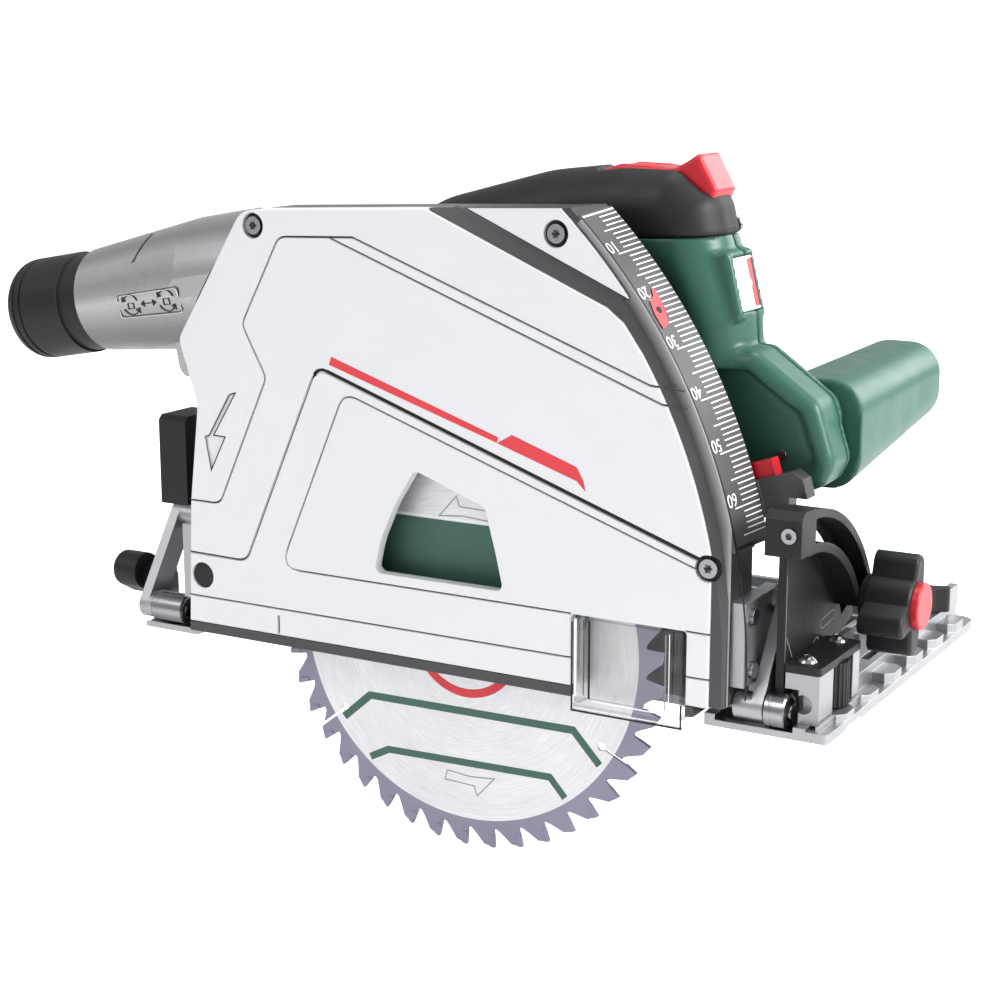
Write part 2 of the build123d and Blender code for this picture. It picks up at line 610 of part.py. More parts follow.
def front_sector():
    """Front bevel quadrant: slotted band, web, near end block, pin lug and foot."""
    web = (123.0, 126.0)
    part = quadrant_ring(web, (123.0, 135.0))
    inner = disc(TILT, SECTOR_INNER_R + 1) & outline((1.5, SOLE_T), (80, SOLE_T), (80, 90), (1.5, 90))
    part += along_x(inner, *web)
    part += along_x(disc(TILT, 6.4), 121.6, 129.0)
    part += box(web[0], web[1], 1.5, 71.0, SOLE_T, 20.0)
    part += box(100.0, web[1], 46.0, 72.0, SOLE_T, 8.0)
    near = outline((-9.0, 65.0), (4.0, 65.0), (4.0, 80.0), (-6.0, 80.5), (-9.0, 78.0))
    part += along_x(near, 121.8, 135.0)
    part -= along_x(disc(TILT, TILT_PIN_R), 115.0, 135.0)
    for x, y in sector_screw_places()[:2]:
        part -= along_z(disc((x, y), 2.1), 0, 12)
    return part - along_y(disc(STOP_SCREW, 2.7), -12, -4)


def rear_sector():
    """Rear bevel quadrant: slotted band, tall near end block, pin lug and foot."""
    web = (-136.0, -133.0)
    part = quadrant_ring(web, (-136.0, -127.4))
    part += along_x(disc(TILT, 6.2), -146.0, -131.0)
    part += along_x(outline((0.0, SOLE_T), (0.0, 14.0), (40.0, 9.0), (71.0, 14.0), (71.0, SOLE_T)), *web)
    part += along_x(ring_part(TILT, SECTOR_R, SECTOR_INNER_R, -4, 20) & box_face(0, 80, SOLE_T, 80), *web)
    part += box(web[0], -124.5, 46.0, 72.0, SOLE_T, 8.0)
    near = outline((-9.0, 54.5), (4.0, 54.5), (12.0, 70.0), (12.0, 90.0), (-7.0, 90.0), (-9.0, 88.0))
    part += along_x(near, -136.0, -122.9)
    part -= along_x(disc(TILT, TILT_PIN_R), -150.0, -128.0)
    for x, y in sector_screw_places()[2:]:
        part -= along_z(disc((x, y), 2.1), 0, 12)
    return part


def tilt_pins():
    """Bevel hinge pins, front and rear."""
    front = along_x(disc(TILT, TILT_PIN_R), 110.2, 130.5)
    rear = along_x(disc(TILT, TILT_PIN_R), -153.2, -133.0)
    return Compound([front, rear])


def base_screws():
    """Screws of the quadrants and the adjuster cover, and the bevel stop grub screw."""
    group = []
    for x, y in sector_screw_places():
        screw = along_z(disc((x, y), 2.1), 0.6, 8.0) + along_z(disc((x, y), 3.4), 8.0, 10.0)
        group.append(screw - along_z(Pos(x, y) * RegularPolygon(1.5, 6), 8.8, 11))
    for y in ADJUSTER_SCREW_Y:
        dome = Pos(132.5, y, 23.6) * Sphere(3.9) & box(128, 137, y - 4, y + 4, 25.2, 28)
        shank = along_z(disc((132.5, y), 1.55), 15.0, 25.2)
        group.append(dome + shank - along_z(Pos(132.5, y) * RegularPolygon(1.2, 6), 26.2, 30))
    grub = along_y(disc(STOP_SCREW, 2.7), -9.8, -4.0)
    group.append(grub - along_y(Pos(*STOP_SCREW) * RegularPolygon(1.3, 6), -10, -7.5))
    return Compound(group)


def adjuster_block():
    """Light-metal bracket that carries the front rail adjuster."""
    x0, x1 = 127.0, 139.6
    near = box(x0, x1, 0.5, 13.5, SOLE_T, 22.5) - along_y(disc((133.6, 11.5), 3.4), -5, 5)
    near = near - box(x0 - 1, 132, -1, 7.3, 0, 16.5)
    far = box(x0, x1, 33.0, 39.5, SOLE_T, 22.5)
    floor = box(x0, x1, 13.5, 33.0, SOLE_T, 5.6) - along_z(disc((RAIL_WHEEL_X[0], RAIL_Y), 3.0 + RUN), 0, 10)
    block = near + far + floor
    for y in ADJUSTER_SCREW_Y:
        block -= along_z(disc((132.5, y), 1.6), 14, 30)
    return block


def adjuster_cover():
    """Black plate over the front rail adjuster."""
    plate = box(126.3, 140.0, -0.3, 40.3, 22.5, 25.2)
    plate = round_edges(plate, plate.edges().filter_by(Axis.Z), 1.5)
    plate -= along_z(disc((RAIL_WHEEL_X[0], RAIL_Y), 2.6), 20, 24)
    for y in ADJUSTER_SCREW_Y:
        plate -= along_z(disc((132.5, y), 1.6), 20, 30)
    return plate


def rail_wheel(x, radius, top):
    """Ribbed thumb wheel with a shaft and an eccentric disc in the rail groove."""
    face = disc((x, RAIL_Y), radius)
    for i in range(24):
        face -= disc(polar((x, RAIL_Y), radius + 0.25, i * 15), 0.7)
    low = 6.2 if top > 20 else SOLE_T + 0.2
    wheel = along_z(face, low, top)
    wheel += along_z(disc((x, RAIL_Y), 3.0), 0.8, low)
    wheel += along_z(disc((x, RAIL_Y), 2.5), top, top + 1.2)
    return wheel + along_z(disc((x, RAIL_Y + 0.8), 6.4), 0.1, 0.85)


def front_rail_wheel():
    """Front guide rail adjuster wheel."""
    return rail_wheel(RAIL_WHEEL_X[0], RAIL_WHEEL_R[0], 22.2)


def rear_rail_wheel():
    """Rear guide rail adjuster wheel."""
    return rail_wheel(RAIL_WHEEL_X[1], RAIL_WHEEL_R[1], 12.0)


def wing_face(centre, hub_r, wing_r, wing_w, angles):
    """Knob outline: a hub with rounded wings at the given angles."""
    face = disc(centre, hub_r)
    for angle in angles:
        tip = polar(centre, wing_r - wing_w / 2, angle)
        face += hull(centre, wing_w * 0.72, tip, wing_w / 2)
    return face


def front_knob():
    """Winged bevel clamp knob on its bolt, front."""
    knob = along_x(wing_face(CLAMP, 10.4, 18.5, 9.0, (80, 262, 200)), 138.0, 154.5)
    knob = round_edges(knob, knob.faces().sort_by(Axis.X)[-1].edges(), 1.5)
    knob += along_x(disc(CLAMP, 9.4), 135.3, 138.0)
    return knob - along_x(disc(CLAMP, 8.7), 150.5, 160) - along_x(disc(CLAMP, CLAMP_BOLT_R + RUN), 130, 149.2)


def front_knob_cap():
    """Red cap disc in the front clamp knob."""
    cap = along_x(disc(CLAMP, 8.6), 150.5, 157.2)
    return round_edges(cap, cap.faces().sort_by(Axis.X)[-1].edges(), 0.8)


def clamp_bolts():
    """Square-neck bolts of both bevel clamps, held in the tilt brackets."""
    front = along_x(disc(CLAMP, CLAMP_BOLT_R), 113.0, 149.0) + along_x(disc(CLAMP, 6.0), 113.0, 116.3)
    rear = along_x(disc(CLAMP, CLAMP_BOLT_R), -164.0, -129.5) + along_x(disc(CLAMP, 3.8), -132.7, -129.5)
    return Compound([front, rear])


def rear_knob():
    """Winged bevel clamp knob, rear."""
    knob = along_x(wing_face(CLAMP, 10.4, 17.0, 9.0, (80, 260)), -168.0, -155.5)
    knob = round_edges(knob, knob.faces().sort_by(Axis.X)[0].edges(), 1.5)
    knob += along_x(disc(CLAMP, 9.4), -155.5, -153.3)
    return knob - along_x(disc(CLAMP, CLAMP_BOLT_R + RUN), -164.2, -150)


def guide_knob():
    """Knob of the rear parallel guide clamp, moulded on its steel sleeve screw."""
    lobe_a = (GUIDE_KNOB[0] - 3.5, GUIDE_KNOB[1] + 2)
    lobe_b = (GUIDE_KNOB[0] + 3.5, GUIDE_KNOB[1] - 2)
    head = along_x(hull(lobe_a, 7.5, lobe_b, 7.5), -175.5, -162.5)
    head = round_edges(head, head.faces().sort_by(Axis.X)[0].edges(), 3.0)
    return head + along_x(disc(GUIDE_KNOB, 3.0), -163.0, -154.0) + along_x(disc(GUIDE_KNOB, 5.5), -162.5, -158.1)


def corner_screw():
    """Wing screw that clamps the parallel guide at the front corner of the sole."""
    wings = along_z(wing_face(CORNER_SCREW, 5.0, 10.5, 5.0, (30, 210)), 10.3, 20.0)
    return wings + along_z(disc(CORNER_SCREW, 2.5), 1.0, 10.3)


def depth_stop():
    """Sliding stop on the scale arc, with a recess for its button."""
    face = ring_part(ARC, 236.0, SCALE_FAR_R + 0.6, 13.9, 17.4)
    face = face - outline(polar(ARC, 231.0, 17.9), polar(ARC, 240.0, 15.5), polar(ARC, 245.0, 20.0))
    block = along_y(face, SCALE_FAR_Y + 0.4, 20.5) - box(121.3, 140.0, 10.0, 30.0, 60.0, 80.6)
    block += along_y(ring_part(ARC, SCALE_FAR_R + 0.6, 213.5, 13.9, 17.4), SCALE_FAR_Y + RUN, 20.5)
    return block - along_y(ring_part(ARC, 226.2, 215.8, 16.2, 18.5), 14.4, 22.0)


def depth_stop_button():
    """Red release button of the depth stop."""
    face = ring_part(ARC, 226.0, 216.0, 16.9, 18.9)
    return along_y(face, 14.6, 20.4)


# ---- drive ----------------------------------------------------------------------------
GEAR_Y_LOW = (14.0, 20.0)                 # output gear and small idler gear
GEAR_Y_HIGH = (24.0, 31.0)                # large idler gear and motor pinion
CASE_Y = (12.4, 42.0)
LOCK_AXIS = (17.5, 16.5)                  # Y, Z of the spindle lock pin


def saw_blade():
    """Toothed blade with expansion slots and a 20 mm bore."""
    corners = []
    gullet_r = BLADE_R - 7.5
    step = 360 / TEETH
    for i in range(TEETH):
        tip = -90 + i * step
        corners.append(polar(SPINDLE, BLADE_R - 5.2, tip - 0.62 * step))
        corners.append(polar(SPINDLE, BLADE_R - 1.4, tip - 0.36 * step))
        corners.append(polar(SPINDLE, BLADE_R, tip))
        corners.append(polar(SPINDLE, gullet_r, tip + 0.06 * step))
        corners.append(polar(SPINDLE, gullet_r + 0.2, tip + 0.2 * step))
    face = outline(*corners) - disc(SPINDLE, 10.0)
    for angle in SLOT_ANGLES:
        root = polar(SPINDLE, 66.0, angle)
        face -= disc(root, 1.6) + hull(root, 0.5, polar(SPINDLE, BLADE_R + 2, angle + 1), 0.5)
    blade = along_y(face, -BLADE_BODY_T / 2, BLADE_BODY_T / 2)
    tip_face = None
    for i in range(TEETH):
        tip = -90 + i * step
        tooth = outline(polar(SPINDLE, BLADE_R, tip), polar(SPINDLE, gullet_r + 2.2, tip + 0.04 * step),
                        polar(SPINDLE, gullet_r + 2.6, tip - 0.13 * step), polar(SPINDLE, BLADE_R - 0.55, tip - 0.15 * step))
        tip_face = tooth if tip_face is None else tip_face + tooth
    return blade + along_y(tip_face, -KERF / 2, KERF / 2)


def inner_flange():
    """Flange between the spindle shoulder and the blade."""
    flange = disc(SPINDLE, FLANGE_R) - disc(SPINDLE, SPINDLE_R)
    return along_y(flange, BLADE_BODY_T / 2, 3.8) + along_y(ring(SPINDLE, 9.98, SPINDLE_R), -0.4, BLADE_BODY_T / 2)


def outer_flange():
    """Loose flange that presses on the blade."""
    return along_y(ring(SPINDLE, FLANGE_R, 4.0), -3.0, -BLADE_BODY_T / 2)


def arbor_screw():
    """Hexagon-socket screw that holds the blade."""
    head = along_y(disc(SPINDLE, 7.0), -6.0, -3.0) - along_y(RegularPolygon(3.0, 6).moved(Pos(*SPINDLE)), -7, -4.2)
    return head + along_y(disc(SPINDLE, 3.0), -3.0, 10.0) + along_y(disc(SPINDLE, 4.0), -3.0, -0.4)


def spindle():
    """Blade spindle with its threaded bore."""
    shaft = along_y(disc(SPINDLE, SPINDLE_R), -0.4, 23.4)
    shaft += along_y(disc(SPINDLE, 7.5), 3.8, 5.4)
    return shaft - along_y(disc(SPINDLE, 3.0), -1, 12.0)


def output_gear():
    """Gear on the blade spindle."""
    phase = heading(SPINDLE, IDLER)
    return along_y(gear_face(OUTPUT_TEETH, SPINDLE, phase, SPINDLE_R), *GEAR_Y_LOW)


def idler_gear():
    """Double gear with its shaft, between the motor pinion and the output gear."""
    small = heading(IDLER, SPINDLE) + 180 / IDLER_SMALL_TEETH
    large = heading(IDLER, MOTOR)
    gear = along_y(gear_face(IDLER_SMALL_TEETH, IDLER, small, 2.5), GEAR_Y_LOW[0], GEAR_Y_LOW[1] + 1)
    gear += along_y(gear_face(IDLER_LARGE_TEETH, IDLER, large, 2.5), *GEAR_Y_HIGH)
    gear += along_y(disc(IDLER, 5.5), GEAR_Y_LOW[1], GEAR_Y_HIGH[0])
    return gear + along_y(disc(IDLER, 3.0), 12.6, 36.0)


def rotor_shaft():
    """Motor shaft with its pinion."""
    phase = heading(MOTOR, IDLER) + 180 / PINION_TEETH
    shaft = along_y(disc(MOTOR, 3.5), 23.0, 113.0)
    return shaft + along_y(gear_face(PINION_TEETH, MOTOR, phase, 3.5), *GEAR_Y_HIGH)


def rotor_core():
    """Laminated rotor with its buried magnets."""
    return along_y(ring(MOTOR, 13.6, 3.5), 54.0, 92.0)


def cooling_fan():
    """Radial fan at the far end of the motor."""
    fan = along_y(ring(MOTOR, 24.0, 3.5), 98.0, 99.5) + along_y(ring(MOTOR, 6.5, 3.5), 98.0, 105.0)
    for i in range(11):
        blade = box(-0.8, 0.8, 99.5, 105.0, 7.0, 23.5)
        fan += Pos(MOTOR[0], 0, MOTOR[1]) * Rot(0, i * 360 / 11, 0) * blade
    return fan


def stator():
    """Stator iron with six inward teeth."""
    iron = ring(MOTOR, 27.6, 23.0)
    for i in range(6):
        tooth = outline((-3.0, 16.5), (3.0, 16.5), (3.0, 24.0), (-3.0, 24.0))
        shoe = ring_part((0, 0), 16.6, 14.6, 90 - 24, 90 + 24)
        iron += Pos(*MOTOR) * Rot(0, 0, i * 60) * (tooth + shoe)
    return along_y(iron, 55.0, 91.0)


def windings():
    """Six copper coils on the stator teeth."""
    coil = outline((-7.0, 17.2), (7.0, 17.2), (8.2, 21.0), (-8.2, 21.0)) - box_face(-3.05, 3.05, 17.0, 21.3)
    ends = outline((-7.0, 17.2), (7.0, 17.2), (8.2, 21.0), (-8.2, 21.0))
    group = []
    for i in range(6):
        place = Pos(*MOTOR) * Rot(0, 0, i * 60)
        winding = along_y(place * coil, 55.0, 91.0)
        winding += along_y(place * ends, 52.5, 55.0) + along_y(place * ends, 91.0, 93.5)
        group.append(winding)
    return Compound(group)


def bearing(centre, bore_r, outer_r, y0, y1):
    """Ball bearing as one ring, with grooves at its seals."""
    body = along_y(ring(centre, outer_r, bore_r + RUN), y0, y1)
    middle = (bore_r + outer_r) / 2
    seal = ring(centre, middle + 0.8, middle - 0.8)
    return body - along_y(seal, y0 - 1, y0 + 0.4) - along_y(seal, y1 - 0.4, y1 + 1)


def bearings():
    """Bearings of the spindle, the double gear and the motor shaft."""
    return Compound([
        bearing(SPINDLE, SPINDLE_R, 11.0, 6.4, 12.4), bearing(SPINDLE, SPINDLE_R, 9.0, 20.6, 23.4),
        bearing(IDLER, 3.0, 5.6, 12.6, 13.8), bearing(IDLER, 3.0, 5.6, 31.6, 36.0),
        bearing(MOTOR, 3.5, 9.5, 34.0, 40.0), bearing(MOTOR, 3.5, 8.0, 107.0, 112.0),
    ])


# ---- saw head -------------------------------------------------------------------------
def case_face(grow=0.0):
    """(X, Z) outline of the gear case around the three gear axes."""
    body = hull(SPINDLE, NOSE_R + grow, IDLER, 18.6 + grow) + hull(IDLER, 18.6 + grow, MOTOR, 22.0 + grow)
    return body + hull(SPINDLE, NOSE_R + grow, MOTOR, 22.0 + grow)


def gear_case():
    """Cast gear case with the spindle nose and the swing arm to the plunge pin."""
    case = along_y(case_face() + disc(MOTOR, MOTOR_R), CASE_Y[0], CASE_Y[1])
    case += along_y(disc(SPINDLE, NOSE_R), 5.7, CASE_Y[0])
    arm = hull((-20.0, 46.0), 17.0, PIVOT, 9.6)
    case += along_y(arm, CASE_Y[0], 30.0)
    case -= along_y(hull((-45.0, 42.3), 9.0, (-92.0, 33.0), 5.0), 15.0, 31.0)
    case -= along_y(disc(PIVOT, PIVOT_R + RUN), 0, 40)
    case -= along_y(disc(SPINDLE, 8.2), 5.0, 6.4) + along_y(disc(SPINDLE, 11.0), 6.4, 12.4)
    case -= along_y(disc(SPINDLE, 13.4), CASE_Y[0], 20.4) + along_y(disc(SPINDLE, 9.0), 20.4, 23.8)
    case -= along_y(disc(IDLER, 5.6), 12.6, 14.0) + along_y(disc(IDLER, 8.4), 13.8, 23.6)
    case -= along_y(disc(IDLER, 15.6) + disc(MOTOR, 6.6), 23.6, 31.6)
    case -= along_y(disc(IDLER, 5.6), 31.6, 36.0)
    case -= along_y(disc(MOTOR, 5.0), 22.5, 34.0) + along_y(disc(MOTOR, 9.5), 34.0, 43.0)
    return case - along_x(disc(LOCK_AXIS, 2.5 + RUN), 5.0, 60.0)


def arbor_lock():
    """Spindle lock button with its pin."""
    return along_x(disc(LOCK_AXIS, 2.5), 15.0, 23.0) + along_x(disc(LOCK_AXIS, 5.0), 22.0, 27.5)


def motor_housing():
    """Round motor housing with air slots in its far end."""
    shell = along_y(disc(MOTOR, MOTOR_R), CASE_Y[1], 118.0)
    shell = round_edges(shell, shell.faces().sort_by(Axis.Y)[-1].edges(), 5.0)
    shell -= along_y(disc(MOTOR, 27.6), CASE_Y[1] - 1, 106.5)
    shell -= along_y(disc(MOTOR, 8.0), 106.0, 112.0) + along_y(disc(MOTOR, 4.0), 111.0, 114.0)
    for i in range(12):
        slot = box(-1.3, 1.3, 104.0, 125.0, 11.0, 24.5)
        shell -= Pos(MOTOR[0], 0, MOTOR[1]) * Rot(0, i * 30 + 15, 0) * slot
    for i in range(9):
        shell -= Pos(MOTOR[0], 0, MOTOR[1]) * Rot(0, i * 22 - 88, 0) * box(-1.3, 1.3, 97.5, 104.0, 26.0, 35.0)
    return shell


def handle_outline():
    """(X, Z) outer outline of the handle and the body below it."""
    return outline(
        (-62.0, 82.0, 8), (-62.0, 160.0, 16), (-28.9, 175.4, 40), (14.0, 186.4, 60), (47.0, 190.3, 40),
        (66.5, 190.2, 8), (84.6, 176.5, 10), (88.5, 158.1, 30), (94.2, 131.0, 8), (98.5, 126.2, 6),
        (124.5, 108.5, 9), (131.2, 90.3, 7), (126.5, 81.5, 6), (112.0, 74.5, 10), (70.0, 62.0, 20),
        (20.0, 56.0), (-36.0, 62.0),
    )


def hand_hole():
    """(X, Z) opening for the fingers."""
    return outline((-38.0, 104.0, 12), (-38.0, 143.0, 14), (-2.0, 151.5, 30), (40.0, 153.5, 20), (60.0, 148.0, 12),
                   (64.0, 122.0, 20), (60.0, 102.0, 12))


GRIP_SPLIT = ((-70.0, 160.0), (10.0, 165.0), (60.0, 166.0), (95.0, 168.0))


def grip_zone(grow=0.0):
    """(X, Z) zone of the rubber grip, above the split line."""
    low = [(x, z - grow) for x, z in GRIP_SPLIT]
    return outline(*low, (95.0, 220.0), (-70.0, 220.0))


def near_limit():
    """Space that the near half of the handle leaves to the spout during the plunge."""
    band = ring_part(PIVOT, SPOUT_SWEEP_R[1], SPOUT_SWEEP_R[0], SPOUT_SWEEP_DEG, 180)
    return along_y(band, 0, SEAM_Y - 3.2)


def handle_shell(y0, y1):
    """One hollow half of the handle between the seam plane and its side."""
    outer = handle_outline() - hand_hole() - disc(MOTOR, MOTOR_R + 0.3)
    near = y0 < HANDLE_NEAR_Y + 1
    shell = along_y(outer, y0, y1)
    side = shell.faces().sort_by(Axis.Y)[0 if near else -1]
    shell = round_edges(shell, side.edges(), SIDE_ROUND)
    inside = offset(outer, amount=-SHELL_T)
    if near:
        shell -= along_y(inside, y0 + SHELL_T, y1 + 1)
    else:
        shell -= along_y(inside, y0 - 1, y1 - SHELL_T)
    return shell


def grip_skin(y0, y1):
    """Volume that the rubber grip takes from the shells."""
    inner = offset(handle_outline() - hand_hole(), amount=-2.2)
    return along_y(grip_zone() - inner, y0, y1)


HANDLE_SCREWS = ((-50.0, 92.0), (-50.0, 150.0), (76.0, 168.0), (78.0, 118.0), (112.0, 92.0), (45.0, 80.0))


def screw_posts(y0, y1, radius, bore):
    """Posts for the handle screws."""
    faces = None
    for x, z in HANDLE_SCREWS:
        post = disc((x, z), radius) - disc((x, z), bore)
        faces = post if faces is None else faces + post
    return along_y(faces, y0, y1)


def handle_near():
    """Near half of the handle, stepped back where the spout passes in the plunge."""
    shell = handle_shell(HANDLE_NEAR_Y, SEAM_Y) - near_limit()
    wall = handle_outline() - hand_hole() - disc(MOTOR, MOTOR_R + 0.3)
    shell += along_y(wall, SEAM_Y - 3.2, SEAM_Y - 1.2) & near_limit_cap()
    shell -= grip_skin(0, SEAM_Y)
    posts = screw_posts(HANDLE_NEAR_Y + 1, SEAM_Y, 4.0, 1.6) & along_y(wall, HANDLE_NEAR_Y, SEAM_Y)
    shell += posts - near_limit()
    shell -= box(30.0, 84.0, 34.0, 56.0, 176.0, 200.0) + trigger_room() + badge_room()
    return keep_largest(shell)


def near_limit_cap():
    """Slab behind the spout clearance, where the near shell keeps a thin wall."""
    return along_y(ring_part(PIVOT, SPOUT_SWEEP_R[1] + 2, SPOUT_SWEEP_R[0] - 2, SPOUT_SWEEP_DEG - 1, 180), 0, SEAM_Y)


def handle_far():
    """Far half of the handle, which carries the side handle and the battery mount."""
    wall = handle_outline() - hand_hole() - disc(MOTOR, MOTOR_R + 0.3)
    shell = handle_shell(SEAM_Y, HANDLE_FAR_Y) - grip_skin(SEAM_Y, 90)
    posts = screw_posts(SEAM_Y, HANDLE_FAR_Y - 0.1, 4.0, 1.6) & along_y(wall, SEAM_Y, HANDLE_FAR_Y)
    shell += posts
    for x, z in HANDLE_SCREWS:
        shell -= along_y(disc((x, z), 3.2), HANDLE_FAR_Y - 2.5, HANDLE_FAR_Y + 1)
        shell -= along_y(disc((x, z), 1.6), SEAM_Y - 1, HANDLE_FAR_Y)
    shell -= box(30.0, 84.0, 34.0, 56.0, 176.0, 200.0) + trigger_room() + badge_room()
    return keep_largest(shell) + along_y(disc(TRIGGER_PIN, TRIGGER_PIN_R), 37.2, 55.0)


def keep_largest(shape):
    """Largest solid of a shape, without slivers left by the cuts."""
    return max(shape.solids(), key=lambda solid: solid.volume)


def handle_grip():
    """Rubber grip over the top of both shells."""
    outer = handle_outline() - hand_hole()
    inner = offset(outer, amount=-2.2)
    grip = along_y(outer & grip_zone(), HANDLE_NEAR_Y - 0.6, HANDLE_FAR_Y + 0.6)
    edges = grip.faces().sort_by(Axis.Y)[0].edges() + grip.faces().sort_by(Axis.Y)[-1].edges()
    grip = round_edges(grip, edges.filter_by(lambda e: e.center().Z > 164), 7.0)
    core = along_y(inner & grip_zone(2), HANDLE_NEAR_Y - 0.0, HANDLE_FAR_Y + 0.0)
    grip -= core
    grip -= near_limit()
    grip -= box(34.0, 83.3, 35.0, 55.0, 176.0, 200.0)
    return keep_largest(grip)


def lock_off():
    """Red lock-off slider on top of the handle."""
    side = outline((38.5, 184.0), (39.5, 189.5, 2), (56.0, 190.0), (68.0, 191.0, 5), (75.0, 194.5, 1.5), (81.0, 181.5, 2),
                   (78.0, 179.0), (39.0, 180.0))
    slider = along_y(side, 35.8, 54.2)
    slider = round_edges(slider, slider.edges().filter_by(lambda e: e.center().Z > 189), 1.2)
    for i in range(4):
        slider -= along_y(disc((46.0 + i * 4.0, 191.2), 1.6), 30, 60)
    return slider


TRIGGER_PIN = (51.5, 155.2)
TRIGGER_PIN_R = 1.2


def trigger_room():
    """Opening for the trigger below the grip bar."""
    return box(20.0, 57.0, 37.0, 53.0, 144.0, 162.0)


def trigger():
    """Trigger below the grip bar, hinged at its front end."""
    side = outline((54.0, 157.5, 2), (54.0, 147.0, 3), (40.0, 143.0, 12), (24.0, 145.0, 3), (22.0, 152.5, 2), (22.0, 157.5, 1))
    lever = along_y(side, 37.6, 52.4)
    lever = round_edges(lever, lever.faces().sort_by(Axis.Z)[0].edges(), 1.0)
    return lever - along_y(disc(TRIGGER_PIN, TRIGGER_PIN_R + RUN), 30, 60)


def switch_module():
    """Electronic trigger switch inside the grip bar."""
    body = box(16.0, 60.0, 37.0, 53.0, 163.5, 175.5)
    return round_edges(body, body.edges().filter_by(Axis.Y), 1.5) + box(28.0, 34.0, 42.0, 48.0, 162.0, 163.5)


def control_board():
    """Potted motor controller in the rear column of the handle."""
    tray = box(-57.5, -42.5, 47.0, 63.0, 100.0, 142.0)
    tray -= box(-56.0, -44.0, 45.0, 61.0, 101.5, 140.5)
    return tray + box(-56.0, -44.0, 58.0, 59.6, 101.5, 140.5)


def badge_room():
    """Recess for the badge on the front of the handle."""
    return extrude(badge_plane() * Rectangle(17.0, 19.6), amount=3.0, both=True)


def badge_plane():
    """Plane of the badge, tangent to the front of the handle."""
    return Plane(origin=(90.6, SEAM_Y - 3.0, 149.5), x_dir=(0, 1, 0), z_dir=(0.97, -0.05, 0.24))


def handle_badge():
    """Blank badge plate on the front of the handle."""
    return extrude(badge_plane().offset(-2.4) * RectangleRounded(16.6, 19.2, 1.5), amount=3.2)


def side_handle():
    """Auxiliary handle, a slightly tapered bar along Y."""
    wide = Pos(BAR_X, 97.5) * RectangleRounded(36.0, 38.0, 13.0)
    narrow = Pos(BAR_X, 103.5) * RectangleRounded(33.0, 31.0, 13.0)
    faces = Sketch() + [Plane.XZ.offset(-HANDLE_FAR_Y - 0.1) * wide, Plane.XZ.offset(-BAR_END_Y) * narrow]
    bar = loft(faces)
    return round_edges(bar, bar.faces().sort_by(Axis.Y)[-1].edges(), 6.0)


def battery_mount():
    """Rail foot behind the handle that takes the battery pack."""
    foot = box(-120.0, -62.0, 49.0, 111.0, 143.2, 150.0)
    foot = round_edges(foot, foot.edges().filter_by(Axis.Z), 4.0)
    foot += box(-118.0, -62.0, 58.0, 60.0, 139.5, 143.2) + box(-118.0, -62.0, 100.0, 102.0, 139.5, 143.2)
    foot += box(-118.0, -62.0, 60.0, 62.5, 139.5, 140.7) + box(-118.0, -62.0, 97.5, 100.0, 139.5, 140.7)
    return foot + box(-72.0, -62.0, 49.0, 66.5, 120.0, 143.2)


def battery_pack():
    """Slide-on battery pack with its guide rails."""
    pack = box(-128.0, -72.5, 44.0, 116.0, 86.0, 138.5)
    pack = round_edges(pack, pack.edges(), 4.0)
    pack += box(-120.0, -73.0, 63.5, 96.5, 137.0, 142.6)
    for y in (62.0, 96.0):
        pack += box(-120.0, -73.0, y - 0.8, y + 2.8, 141.1, 142.6)
    pack -= box(-131.0, -112.0, 66.0, 94.0, 84.0, 92.0)
    return pack


def battery_latch():
    """Release button of the battery pack."""
    button = box(-130.5, -115.0, 67.0, 93.0, 86.5, 91.5)
    return round_edges(button, button.faces().sort_by(Axis.X)[0].edges(), 1.5)


def housing_screws():
    """Screws of the handle shells, driven from the far side."""
    group = []
    for x, z in HANDLE_SCREWS:
        end = HANDLE_NEAR_Y + 6.0 if x > 0 else SEAM_Y - 1.0
        group.append(socket_screw_y(x, z, 2.9, 2.0, 1.55, HANDLE_FAR_Y - 2.5, end))
    return Compound(group)


def return_spring():
    """Torsion spring around the plunge pin."""
    path = Helix(pitch=1.8, height=6.0, radius=8.0)
    wire = sweep(Plane(origin=path @ 0, z_dir=path % 0) * Circle(0.7), path)
    return Pos(PIVOT[0], 31.4, PIVOT[1]) * Rot(-90, 0, 0) * wire


PARTS = (
    base_plate, front_sector, rear_sector, base_screws, tilt_pins, adjuster_block, adjuster_cover,
    front_rail_wheel, rear_rail_wheel, guide_knob, corner_screw,
    guard_cover, corner_panel, guard_housing, depth_scale, guard_screws, plunge_pin, pivot_plug,
    dust_spout, dust_adapter, chip_guard, front_tilt_arm, rear_tilt_arm, clamp_bolts, bevel_pointer,
    front_knob, front_knob_cap, rear_knob, depth_stop, depth_stop_button,
    saw_blade, inner_flange, outer_flange, arbor_screw, spindle, output_gear, idler_gear,
    rotor_shaft, rotor_core, cooling_fan, stator, windings, bearings,
    gear_case, arbor_lock, motor_housing, housing_screws, return_spring,
    handle_near, handle_far, handle_grip, lock_off, trigger, switch_module, control_board,
    handle_badge, side_handle, battery_mount, battery_pack, battery_latch,
)

if __name__ == "__main__":
    os.makedirs("parts", exist_ok=True)
    for part in PARTS:
        export_step(part(), f"parts/{part.__name__}.step")
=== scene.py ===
import json
import math

